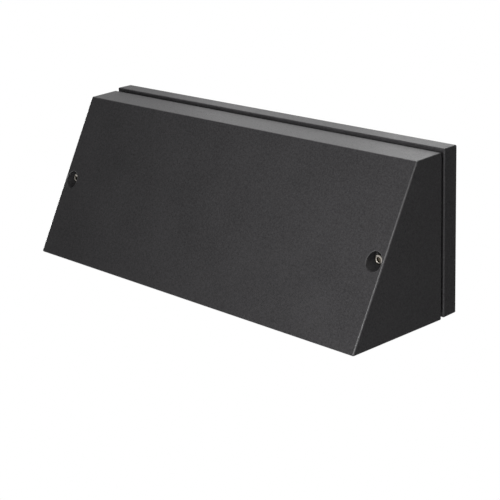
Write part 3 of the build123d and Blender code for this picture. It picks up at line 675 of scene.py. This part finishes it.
class ShapeTree(NodeTree):
    """A Geometry Nodes tree that repeats or sweeps a shape, with named inputs for its sizes."""

    def __init__(self, name: str, sizes: dict[str, float | int]) -> None:
        """Makes the tree's sockets.

        Args:
            name: The tree's name.
            sizes: The values of its inputs. A whole number makes a whole-number input.
        """
        super().__init__(bpy.data.node_groups.new(name, "GeometryNodeTree"))
        self.sizes = sizes
        sockets = self.tree.interface
        sockets.new_socket("Geometry", in_out="INPUT", socket_type="NodeSocketGeometry")
        for label, value in sizes.items():
            kind = "NodeSocketInt" if isinstance(value, int) else "NodeSocketFloat"
            sockets.new_socket(label, in_out="INPUT", socket_type=kind)
        sockets.new_socket("Geometry", in_out="OUTPUT", socket_type="NodeSocketGeometry")
        self.entry = self.add("NodeGroupInput")

    def size(self, label: str) -> Signal:
        """The input with a name."""
        return self.entry.other(label)

    def repeat(self, points: Signal, turn: Signal | Triple) -> Signal:
        """The incoming shape, repeated on points and turned."""
        sockets = {"Points": points, "Instance": self.entry, "Rotation": turn}
        return self.add("GeometryNodeInstanceOnPoints", inputs=sockets)

    def lay(self) -> Signal:
        """What the tree makes of the incoming shape."""
        return self.entry

    def over(self, shape: Shape, material: Material) -> Shape:
        """Ends the tree with real geometry in one material, and runs it.

        Args:
            shape: The incoming shape.
            material: The material that the tree sets.

        Returns:
            The result as a plain mesh.
        """
        real = self.add("GeometryNodeRealizeInstances", inputs={"Geometry": self.lay()})
        whole = self.add("GeometryNodeSetMaterial", inputs={"Geometry": real, "Material": material})
        self.add("NodeGroupOutput", inputs={"Geometry": whole})
        carrier = bpy.data.objects.new(self.tree.name, shape)
        bpy.context.scene.collection.objects.link(carrier)
        modifier = carrier.modifiers.new(self.tree.name, "NODES")
        modifier.node_group = self.tree
        for item in self.tree.interface.items_tree:
            if item.name in self.sizes:
                modifier[item.identifier] = self.sizes[item.name]
        graph = bpy.context.evaluated_depsgraph_get()
        result = bpy.data.meshes.new_from_object(carrier.evaluated_get(graph), depsgraph=graph)
        bpy.data.objects.remove(carrier)
        return coated(result, material)


@dataclass(frozen=True)
class Grid:
    """Columns along X and rows along Y, with the way from the first of them to the last."""

    columns: int = 1
    rows: int = 1
    width: float = 0.0
    height: float = 0.0


class GridTree(ShapeTree):
    """Repeats a shape in rows and columns about the origin."""

    def __init__(self, name: str, grid: Grid) -> None:
        """Takes its sizes from a grid."""
        sizes = {"Columns": grid.columns, "Rows": grid.rows, "Width": grid.width, "Height": grid.height}
        super().__init__(name, sizes)

    def lay(self) -> Signal:
        """Puts the shape on the points of a grid.

        Returns:
            The repeated shape.
        """
        sockets = {
            "Size X": self.size("Width"),
            "Size Y": self.size("Height"),
            "Vertices X": self.size("Columns"),
            "Vertices Y": self.size("Rows"),
        }
        points = self.add("GeometryNodeMeshGrid", inputs=sockets)
        return self.repeat(points, (0.0, 0.0, 0.0))


class RingTree(ShapeTree):
    """Repeats a shape round the Z axis, turned outwards."""

    def __init__(self, name: str, count: int, radius: float) -> None:
        """Keeps the number of shapes and the ring's radius."""
        super().__init__(name, {"Count": count, "Radius": radius})

    def lay(self) -> Signal:
        """Puts the shape on the points of a circle.

        Returns:
            The repeated shape.
        """
        sockets = {"Vertices": self.size("Count"), "Radius": self.size("Radius")}
        points = self.add("GeometryNodeMeshCircle", inputs=sockets)
        turn = self.add("GeometryNodeInputIndex") * tau / self.size("Count")
        return self.repeat(points, self.vector(0.0, 0.0, turn))


class ThreadTree(ShapeTree):
    """Sweeps a thread's ridge up a helix and joins it to the incoming shape."""

    STEPS = 20
    RIDGE_SIDES = 4

    def __init__(self, name: str, pitch: float, length: float, radius: float, ridge: float) -> None:
        """Keeps the thread's rise in a turn, its length, its middle radius and half its ridge's width."""
        sizes = {"Turns": length / pitch, "Length": length, "Radius": radius, "Ridge": ridge}
        super().__init__(name, sizes)

    def lay(self) -> Signal:
        """Sweeps the ridge, up from the origin.

        Returns:
            The ridge and the incoming shape.
        """
        sockets = {
            "Resolution": self.STEPS,
            "Rotations": self.size("Turns"),
            "Start Radius": self.size("Radius"),
            "End Radius": self.size("Radius"),
            "Height": self.size("Length"),
        }
        helix = self.add("GeometryNodeCurveSpiral", inputs=sockets)
        upright = self.add("GeometryNodeSetCurveNormal", {"mode": "Z_UP"}, {"Curve": helix})
        sockets = {"Resolution": self.RIDGE_SIDES, "Radius": self.size("Ridge")}
        section = self.add("GeometryNodeCurvePrimitiveCircle", inputs=sockets)
        sockets = {"Curve": upright, "Profile Curve": section, "Fill Caps": True}
        ridge = self.add("GeometryNodeCurveToMesh", inputs=sockets)
        flat = self.add("GeometryNodeSetShadeSmooth", inputs={"Geometry": ridge, "Shade Smooth": False})
        return self.add("GeometryNodeJoinGeometry", inputs={"Geometry": [flat, self.entry]})


def turned(rings: Sequence[Ring], segments: int, hollow: bool = False) -> Shape:
    """Makes a closed turned shape about the Z axis.

    Args:
        rings: Radius and height of each ring from the lower pole to the upper one. A radius may be a
            function of the angle. The first and last rings shrink to a point.
        segments: How many corners a ring has.
        hollow: Whether the rings run round a hole instead, from the last one back to the first.

    Returns:
        The mesh, with sharp edges kept.
    """
    mesh = bmesh.new()
    angles = [tau * step / segments for step in range(segments)]
    loops = []
    for radius, height in rings if hollow else rings[1:-1]:
        reach = [radius(angle) if callable(radius) else radius for angle in angles]
        spots = [(r * cos(angle), r * sin(angle), height) for r, angle in zip(reach, angles)]
        loops.append([mesh.verts.new(spot) for spot in spots])
    poles = [] if hollow else [mesh.verts.new((0, 0, rings[end][1])) for end in (0, -1)]
    pairs = list(zip(loops, loops[1:] + loops[:1] if hollow else loops[1:]))
    for step in range(segments):
        ahead = (step + 1) % segments
        if poles:
            mesh.faces.new((poles[0], loops[0][ahead], loops[0][step]))
            mesh.faces.new((poles[1], loops[-1][step], loops[-1][ahead]))
        for low, high in pairs:
            mesh.faces.new((low[step], low[ahead], high[ahead], high[step]))
    bmesh.ops.recalc_face_normals(mesh, faces=mesh.faces)
    return finished(mesh, smooth=True)


def block(size: Triple, edge: float) -> Shape:
    """Makes a block about the origin with broken edges.

    Args:
        size: Its length along each axis.
        edge: The width of the broken edges.

    Returns:
        The mesh.
    """
    mesh = bmesh.new()
    bmesh.ops.create_cube(mesh, size=1.0)
    bmesh.ops.scale(mesh, vec=size, verts=mesh.verts)
    bmesh.ops.bevel(mesh, geom=mesh.edges, offset=edge, segments=1, affect="EDGES")
    return finished(mesh, smooth=False)


def finished(mesh: bmesh.types.BMesh, smooth: bool) -> Shape:
    """Turns an editable mesh into a plain one.

    Args:
        mesh: The editable mesh, which is freed.
        smooth: Whether its faces are shaded smooth, apart from its sharp edges.

    Returns:
        The plain mesh.
    """
    shape = bpy.data.meshes.new("shape")
    mesh.to_mesh(shape)
    mesh.free()
    shape.polygons.foreach_set("use_smooth", [smooth] * len(shape.polygons))
    shape.set_sharp_from_angle(angle=SHARP_ANGLE)
    return shape


def coated(shape: Shape, material: Material) -> Shape:
    """Gives a whole shape one material.

    Args:
        shape: The shape.
        material: Its only material.

    Returns:
        The same shape.
    """
    shape.materials.clear()
    shape.materials.append(material)
    shape.polygons.foreach_set("material_index", [0] * len(shape.polygons))
    return shape


def joined(shapes: Sequence[Shape], material: Material) -> Shape:
    """Puts several shapes into one mesh.

    Args:
        shapes: The shapes.
        material: The material of the whole.

    Returns:
        One mesh.
    """
    mesh = bmesh.new()
    for shape in shapes:
        mesh.from_mesh(shape)
    whole = bpy.data.meshes.new("shape")
    mesh.to_mesh(whole)
    mesh.free()
    return coated(whole, material)


def outward(x: float, y: float, z: float) -> Matrix:
    """Puts a shape's Z axis straight out from the wall, at a place."""
    return Matrix.Translation((x, y, z)) @ Matrix.Rotation(pi / 2, 4, "X")


def placed(name: str, shape: Shape, body: Body, place: Matrix) -> Piece:
    """Makes a piece of a shape and lets it ride.

    Args:
        name: The piece's name.
        shape: Its mesh, in its material.
        body: The body that it rides on.
        place: Where the shape goes. It is applied to the mesh.

    Returns:
        The piece, at the origin.
    """
    shape.transform(place)
    shape.name = name
    piece = bpy.data.objects.new(name, shape)
    bpy.context.scene.collection.objects.link(piece)
    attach(piece, body.value)
    return piece


@dataclass(frozen=True)
class PinMark:
    """The low ringed disc that a mould's pin leaves on a casting, with its foot just below the origin."""

    # Radius and height of each ring, in millimetres.
    rings: tuple[tuple[float, float], ...] = (
        (0.0, -0.25), (3.6, -0.25), (3.6, 0.2), (3.42, 0.25), (3.024, 0.25), (2.88, 0.125), (0.0, 0.125)
    )
    segments: int = 32

    def shape(self) -> Shape:
        """The disc's mesh."""
        return turned([(radius * MM, height * MM) for radius, height in self.rings], self.segments)


@dataclass
class Assembly:
    """Some nodes that belong together, with their finishes and the pieces that dress them."""

    palette: Palette

    NODES: ClassVar[dict[str, Slot]] = {}

    def build(self) -> list[Piece]:
        """Makes the pieces."""
        return []

    def dress(self) -> None:
        """Gives the nodes their materials."""
        for node, slot in self.NODES.items():
            self.palette.paint(node, self.material(slot))

    def material(self, slot: Slot) -> Material:
        """The material of a slot."""
        return self.palette.materials[slot]

    def repeated(
        self, name: str, shape: Shape, grid: Grid, slot: Slot, place: Matrix, body: Body = Body.BASE
    ) -> Piece:
        """A piece that repeats a shape in rows and columns."""
        whole = GridTree(name, grid).over(shape, self.material(slot))
        return placed(name, whole, body, place)


@dataclass
class WallPlate(Assembly):
    """The cast plate, with the marks that its mould's pins leave behind the web."""

    mark: PinMark = PinMark()
    marks: Grid = Grid(columns=3, rows=2, width=104 * MM, height=56 * MM)
    web_back: float = -7 * MM
    # The plate's copy of the cover's coat: a lighter colour, as painted light, and less gloss.
    lit_coat_colour: Colour = (0.0595, 0.0577, 0.06)
    coat_specular: float = 0.027

    NODES = {
        "base_plate": Slot.ANTHRACITE_COAT,
        "cover_gasket": Slot.BLACK_SILICONE,
        "cable_grommet": Slot.BLACK_SILICONE,
    }

    def build(self) -> list[Piece]:
        """Makes the pin marks."""
        place = Matrix.Translation((0, self.web_back, 0)) @ Matrix.Rotation(-pi / 2, 4, "X")
        return [self.repeated("plate_pin_marks", self.mark.shape(), self.marks, Slot.ANTHRACITE_COAT, place)]

    def dress(self) -> None:
        """Gives the nodes their materials, with the cover's coat on the plate painted lighter, as painted
        light, and made less glossy.
        """
        super().dress()
        cover_coat = Palette.FINISHES[Slot.ANTHRACITE_COAT]
        coat = replace(cover_coat, colour=self.lit_coat_colour, specular=self.coat_specular)
        self.palette.paint("base_plate", coat.material("plate_lit_coat"))


@dataclass
class WedgeCover(Assembly):
    """The wedge-shaped cover, its glass, and pin marks inside its slanted wall."""

    mark: PinMark = PinMark()
    marks: Grid = Grid(columns=4, width=180 * MM)
    mark_place: float = 0.3
    wall: float = 3 * MM
    face: SlantedFace = SlantedFace()

    NODES = {
        "cover": Slot.ANTHRACITE_COAT,
        "diffuser_gasket": Slot.BLACK_SILICONE,
        "diffuser": Slot.OPAL_GLASS,
        "diffuser_clips": Slot.SPRING_STEEL,
        "diffuser_clip_screws": Slot.ZINC_STEEL,
    }

    def build(self) -> list[Piece]:
        """Makes the pin marks.

        Returns:
            One piece.
        """
        face, slot = self.face, Slot.ANTHRACITE_COAT
        place = Matrix((face.leftward(), face.along(), face.inward())).transposed().to_4x4()
        place.translation = face.bottom().lerp(face.top(), self.mark_place) + face.inward() * self.wall
        return [self.repeated("cover_pin_marks", self.mark.shape(), self.marks, slot, place, Body.COVER)]


@dataclass
class CoverScrew(Assembly):
    """A socket-head screw with a knurled head, a hexagon socket and a rolled thread."""

    side: Side = Side.LEFT
    head_radius: float = 2.68 * MM
    head_height: float = 3 * MM
    # How far each ring of the head's rounded rim lies in from its side and down from its top.
    head_rim: tuple[tuple[float, float], ...] = (
        (0.0, 0.35 * MM), (0.0875 * MM, 0.1575 * MM), (0.35 * MM, 0.1 * MM), (0.7 * MM, 0.03 * MM)
    )
    seat_gap: float = 0.03 * MM
    seat_break: float = 0.15 * MM
    socket: float = 1.25 * MM
    socket_mouth: float = 1.4 * MM
    socket_depth: float = 1.5 * MM
    socket_break: float = 0.15 * MM
    socket_drill: float = 1.125 * MM
    socket_point: float = 0.35 * MM
    core_radius: float = 1.22 * MM
    thread_ridge: float = 0.25 * MM
    thread_pitch: float = 0.5 * MM
    tip_break: float = 0.3 * MM
    knurl_count: int = 36
    knurl_width: float = 0.22 * MM
    knurl_length: float = 2.1 * MM
    knurl_edge: float = 0.022 * MM
    knurl_sink: float = 0.066 * MM
    knurl_middle: float = 1.4125 * MM
    segments: int = 96

    def hexagon(self, angle: float) -> float:
        """The socket's radius at an angle."""
        return self.socket / cos(angle % (pi / 3) - pi / 6)

    def rings(self, length: float) -> list[Ring]:
        """The turned outline.

        Args:
            length: The shank's length, which lies below the origin.

        Returns:
            Rings from the tip to the bottom of the socket.
        """
        top = self.head_height
        floor = top - self.socket_depth
        return [
            (0.0, -length),
            (self.core_radius - self.tip_break, -length),
            (self.core_radius, -length + self.tip_break),
            (self.core_radius, self.seat_gap),
            (self.head_radius - self.seat_break, self.seat_gap),
            (self.head_radius, self.seat_break),
            *[(self.head_radius - inset, top - drop) for inset, drop in self.head_rim],
            (self.socket_mouth / cos(pi / 6), top),
            (self.hexagon, top - self.socket_break),
            (self.hexagon, floor),
            (self.socket_drill, floor),
            (0.0, floor - self.socket_point),
        ]

    def build(self) -> list[Piece]:
        """Makes the screw, in the place of its CAD node.

        Returns:
            One piece.
        """
        name, node = f"{self.side.value}_screw", f"{self.side.value}_cover_screw"
        slot = Slot.STAINLESS_STEEL
        steel = self.material(slot)
        low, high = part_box(node)
        length = high.y - low.y - self.head_height
        start = Matrix.Translation((0, 0, length - self.tip_break))
        shank = turned(self.rings(length), self.segments)
        shank.transform(start)
        reach = length - 2 * self.tip_break
        thread = ThreadTree(f"{name}_thread", self.thread_pitch, reach, self.core_radius, self.thread_ridge)
        screw = thread.over(shank, steel)
        screw.transform(start.inverted())
        ridge = block((self.knurl_width, self.knurl_width, self.knurl_length), self.knurl_edge)
        ridge.transform(Matrix.Rotation(pi / 4, 4, "Z"))
        knurl = RingTree(f"{name}_knurl", self.knurl_count, self.head_radius - self.knurl_sink)
        ridges = knurl.over(ridge, steel)
        ridges.transform(Matrix.Translation((0, 0, self.knurl_middle)))
        spot = centre(node)
        place = outward(spot.x, low.y + self.head_height, spot.z)
        piece = placed(f"{name}_socket_head", joined([screw, ridges], steel), Body(name), place)
        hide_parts(node)
        return [piece]

    def dress(self) -> None:
        """Gives the seal under the head its material."""
        self.palette.paint(f"{self.side.value}_screw_seal", self.material(Slot.BLACK_SILICONE))


@dataclass
class GearTray(Assembly):
    """The folded sheet that carries the electrics."""

    NODES = {"gear_tray": Slot.BARE_ALUMINIUM, "gear_tray_screws": Slot.ZINC_STEEL}


@dataclass
class LightSource(Assembly):
    """The LED board under the shelf: packages, their yellow lenses, their solder, and the reflector."""

    chips: int = 16
    chip_length: float = 2.8 * MM
    lens_length: float = 2.1 * MM
    lens_width: float = 2.6 * MM
    lens_rise: float = 0.35 * MM
    lens_steps: int = 12
    lens_segments: int = 20
    pad_size: Triple = (0.8 * MM, 2.6 * MM, 0.3 * MM)
    pad_edge: float = 0.09 * MM

    NODES = {
        "thermal_pad": Slot.GREY_SILICONE,
        "led_board": Slot.WHITE_MASK,
        "led_chips": Slot.WHITE_PLASTIC,
        "led_connector": Slot.WHITE_PLASTIC,
        "led_board_screws": Slot.ZINC_STEEL,
        "reflector": Slot.WHITE_COAT,
        "reflector_screws": Slot.ZINC_STEEL,
    }

    def lens(self) -> Shape:
        """Makes one lens, a flattened ball about the origin.

        Returns:
            The mesh.
        """
        angles = [step * pi / self.lens_steps for step in range(self.lens_steps + 1)]
        lens = turned([(sin(angle), -cos(angle)) for angle in angles], self.lens_segments)
        lens.transform(Matrix.Diagonal((self.lens_length / 2, self.lens_width / 2, self.lens_rise, 1)))
        return lens

    def build(self) -> list[Piece]:
        """Makes the lenses and the solder.

        Returns:
            The lenses, then the solder to the left and to the right of the packages.
        """
        low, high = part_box("led_chips")
        middle = (low + high) / 2
        row = Grid(self.chips, width=high.x - low.x - self.chip_length)
        place = Matrix.Translation((middle.x, middle.y, low.z))
        pieces = [self.repeated("led_lenses", self.lens(), row, Slot.PHOSPHOR, place)]
        for side, sign in ((Side.LEFT, -1), (Side.RIGHT, 1)):
            pad = block(self.pad_size, self.pad_edge)
            place = Matrix.Translation((middle.x + sign * self.chip_length / 2, middle.y, high.z))
            pieces.append(self.repeated(f"{side.value}_led_solder", pad, row, Slot.TINNED_COPPER, place))
        return pieces


@dataclass
class Driver(Assembly):
    """The power supply's case, its ribbed lid and what is inside."""

    ribs: Grid = Grid(columns=7, width=48 * MM)
    rib_size: Triple = (1.2 * MM, 15 * MM, 1.0 * MM)
    rib_edge: float = 0.25 * MM

    NODES = {
        "driver_case": Slot.WHITE_PLASTIC,
        "driver_lid": Slot.WHITE_PLASTIC,
        "driver_board": Slot.GREEN_MASK,
        "driver_transformer": Slot.FERRITE,
        "driver_capacitors": Slot.CAPACITOR_SLEEVE,
        "driver_screws": Slot.ZINC_STEEL,
    }

    def build(self) -> list[Piece]:
        """Makes the ribs on the lid.

        Returns:
            One piece.
        """
        middle = centre("driver_lid")
        place = outward(middle.x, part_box("driver_lid")[0].y, middle.z)
        rib = block(self.rib_size, self.rib_edge)
        return [self.repeated("driver_lid_ribs", rib, self.ribs, Slot.WHITE_PLASTIC, place)]


@dataclass
class Terminals(Assembly):
    """The terminal block with the ribs between its poles, and the earth connection."""

    teeth: int = 12
    tooth_size: Triple = (1.3 * MM, 0.8 * MM, 0.32 * MM)
    tooth_edge: float = 0.048 * MM
    tooth_twist: float = radians(18)
    tooth_reach: float = 2.75 * MM
    ring_radius: float = 2.3 * MM
    ring_share: float = 0.5
    ring_steps: int = 48
    hole_radius: float = 1.75 * MM
    dividers: Grid = Grid(rows=2, height=8 * MM)
    divider_size: Triple = (21 * MM, 0.9 * MM, 1.2 * MM)
    divider_edge: float = 0.3 * MM
    divider_middle: float = 11 * MM

    NODES = {
        "terminal_block": Slot.CLEAR_NYLON,
        "terminal_clamps": Slot.BRASS,
        "terminal_screws": Slot.ZINC_STEEL,
        "terminal_block_screws": Slot.ZINC_STEEL,
        "earth_lug": Slot.TINNED_COPPER,
        "earth_screw": Slot.ZINC_STEEL,
    }

    def washer(self) -> Piece:
        """Makes the toothed washer, in the place of its CAD node.

        Returns:
            The piece.
        """
        slot = Slot.ZINC_STEEL
        low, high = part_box("earth_washer")
        inner, outer, half = self.hole_radius, self.ring_radius, (high.y - low.y) * self.ring_share / 2
        rings = [(inner, -half), (outer, -half), (outer, half), (inner, half)]
        ring = turned(rings, self.ring_steps, hollow=True)
        tooth = block(self.tooth_size, self.tooth_edge)
        tooth.transform(Matrix.Rotation(self.tooth_twist, 4, "X"))
        tree = RingTree("earth_washer_teeth", self.teeth, self.tooth_reach)
        whole = joined([ring, tree.over(tooth, self.material(slot))], self.material(slot))
        washer = placed("toothed_earth_washer", whole, Body.BASE, outward(*centre("earth_washer")))
        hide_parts("earth_washer")
        return washer

    def build(self) -> list[Piece]:
        """Makes the toothed washer and the ribs on the block.

        Returns:
            The washer, then the ribs.
        """
        washer = self.washer()
        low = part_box("terminal_block")[0]
        place = outward(low.x + self.divider_middle, low.y, centre("terminal_block").z)
        rib = block(self.divider_size, self.divider_edge)
        return [washer, self.repeated("terminal_ribs", rib, self.dividers, Slot.CLEAR_NYLON, place)]


@dataclass
class Leads(Assembly):
    """The insulated leads between the driver, the terminals, the earth screw and the LED board."""

    NODES = {
        "live_wire": Slot.BROWN_INSULATION,
        "neutral_wire": Slot.BLUE_INSULATION,
        "earth_wire": Slot.GREEN_YELLOW_INSULATION,
        "led_positive_wire": Slot.RED_INSULATION,
        "led_negative_wire": Slot.BLACK_INSULATION,
    }


@dataclass(frozen=True)
class Lamp:
    """A square soft lamp: its place and aim, the length of its sides in metres, and its power in watts."""

    name: str
    spot: Triple
    aim: Triple
    size: float
    power: float

    def hang(self) -> None:
        """Adds the lamp, which the camera doesn't see."""
        data = bpy.data.lights.new(self.name, "AREA")
        data.size = self.size
        data.energy = self.power
        lamp = bpy.data.objects.new(self.name, data)
        lamp.location = self.spot
        lamp.visible_camera = False
        lamp.rotation_euler = (Vector(self.aim) - Vector(self.spot)).to_track_quat("-Z", "Y").to_euler()
        bpy.context.scene.collection.objects.link(lamp)


@dataclass
class Studio:
    """A pale floor far below the light, a white surround, soft lamps and the camera."""

    floor_level: float = -0.55
    floor_radius: float = 0.62
    floor_segments: int = 96
    floor_colour: Colour = (0.86, 0.86, 0.86)
    floor_glow: float = 0.35
    fade_start: float = 0.279
    fade_end: float = 0.589
    ambient: float = 0.03
    eye: Triple = (0.5344897, -0.5378268, 0.2213991)
    yaw: float = 0.805631
    pitch: float = -0.3293083
    roll: float = -0.0446635
    near: float = 0.01
    sensor: float = 36.0
    focal_pixels: float = 1342.315
    image_pixels: float = 500.0

    LAMPS: ClassVar[tuple[Lamp, ...]] = (
        Lamp("front_lamp", (0.195, -0.34, 0.085), (0.1, -0.05, 0.0), size=0.2, power=1.0),
        Lamp("top_lamp", (0.0, 0.08, 0.32), (0.0, -0.02, 0.04), size=0.1, power=0.8),
        Lamp("sky_lamp", (-0.44, 0.63, 0.36), (0.0, -0.02, 0.04), size=0.5, power=0.76),
        Lamp("rim_lamp", (-0.2, 0.6, 0.25), (0.0, 0.0, 0.0), size=0.4, power=0.8),
        Lamp("back_lamp", (0.0, 0.6, -0.12), (0.0, 0.0, 0.0), size=0.3, power=4.0),
        Lamp("low_lamp", (0.0, -0.1, -0.42), (0.0, -0.04, 0.0), size=0.3, power=1.2),
        Lamp("left_lamp", (-0.6, 0.15, -0.05), (-0.13, -0.02, 0.0), size=0.25, power=2.0),
        Lamp("mouth_lamp", (0.29, -0.55, -0.3), (0.1, -0.05, 0.0), size=0.06, power=0.3),
    )

    def build(self) -> None:
        """Sets up the view, the surround, the floor, the lamps and the camera."""
        bpy.context.scene.view_settings.view_transform = "Standard"
        self.surround()
        self.floor()
        for lamp in self.LAMPS:
            lamp.hang()
        self.camera()

    def surround(self) -> None:
        """Makes the world white to the camera, to gloss and to glass, and dim for the rest."""
        world = bpy.data.worlds.new("surround")
        world.use_nodes = True
        world.node_tree.nodes.clear()
        nodes = NodeTree(world.node_tree)
        path = nodes.add("ShaderNodeLightPath", output="Is Camera Ray")
        seen = path + path.other("Is Glossy Ray") + path.other("Is Transmission Ray")
        strength = (seen > HALF) * (1 - self.ambient) + self.ambient
        light = nodes.add("ShaderNodeBackground", inputs={"Color": WHITE, "Strength": strength})
        nodes.add("ShaderNodeOutputWorld", inputs={"Surface": light})
        bpy.context.scene.world = world

    def floor(self) -> None:
        """Makes the floor."""
        mesh = bmesh.new()
        bmesh.ops.create_circle(mesh, cap_ends=True, segments=self.floor_segments, radius=self.floor_radius)
        shape = finished(mesh, smooth=False)
        shape.transform(Matrix.Translation((0, 0, self.floor_level)))
        shape.materials.append(self.floor_material())
        floor = bpy.data.objects.new("floor", shape)
        bpy.context.scene.collection.objects.link(floor)

    def floor_material(self) -> Material:
        """Makes the pale floor's material.

        Returns:
            A material that fades into the white surround towards the floor's edge and is clear from below.
        """
        material = bpy.data.materials.new("pale_floor")
        material.use_nodes = True
        material.node_tree.nodes.clear()
        nodes = SurfaceTree(material.node_tree)
        reach = nodes.place("X").hypot(nodes.place("Y"))
        fade = nodes.step(reach, self.fade_start, self.fade_end)
        below = nodes.add("ShaderNodeNewGeometry", output="Backfacing")
        plain = nodes.add("ShaderNodeBsdfDiffuse", inputs={"Color": self.floor_colour})
        seen = nodes.add("ShaderNodeLightPath", output="Is Camera Ray")
        glow = nodes.add("ShaderNodeEmission", inputs={"Color": WHITE, "Strength": seen * self.floor_glow})
        pale = nodes.add("ShaderNodeAddShader", inputs={0: plain, 1: glow})
        clear = nodes.add("ShaderNodeBsdfTransparent")
        share = 1 - (1 - fade) * (1 - below)
        shader = nodes.add("ShaderNodeMixShader", inputs={0: share, 1: pale, 2: clear})
        nodes.add("ShaderNodeOutputMaterial", inputs={"Surface": shader})
        return material

    def camera(self) -> None:
        """Puts the camera where the photograph was taken from."""
        flat = cos(self.pitch)
        ahead = Vector((-sin(self.yaw) * flat, cos(self.yaw) * flat, sin(self.pitch)))
        level = Vector((cos(self.yaw), sin(self.yaw), 0.0))
        upright = level.cross(ahead)
        right = level * cos(self.roll) + upright * sin(self.roll)
        up = upright * cos(self.roll) - level * sin(self.roll)
        data = bpy.data.cameras.new("camera")
        data.sensor_width = self.sensor
        data.lens = self.sensor * self.focal_pixels / self.image_pixels
        data.clip_start = self.near
        camera = bpy.data.objects.new("camera", data)
        place = Matrix((right, up, -ahead)).transposed().to_4x4()
        place.translation = self.eye
        camera.matrix_world = place
        bpy.context.scene.collection.objects.link(camera)
        bpy.context.scene.camera = camera


def main() -> None:
    """Builds and dresses the sub-assemblies in order, then the studio."""
    logging.basicConfig(level=logging.INFO, format="%(message)s")
    palette = Palette()
    assemblies = [
        WallPlate(palette),
        WedgeCover(palette),
        CoverScrew(palette, Side.LEFT),
        CoverScrew(palette, Side.RIGHT),
        GearTray(palette),
        LightSource(palette),
        Driver(palette),
        Terminals(palette),
        Leads(palette),
    ]
    for assembly in assemblies:
        assembly.dress()
        for piece in assembly.build():
            LOG.info("%s: %s, %d faces", type(assembly).__name__, piece.name, len(piece.data.polygons))
    Studio().build()


if __name__ == "__main__":
    main()
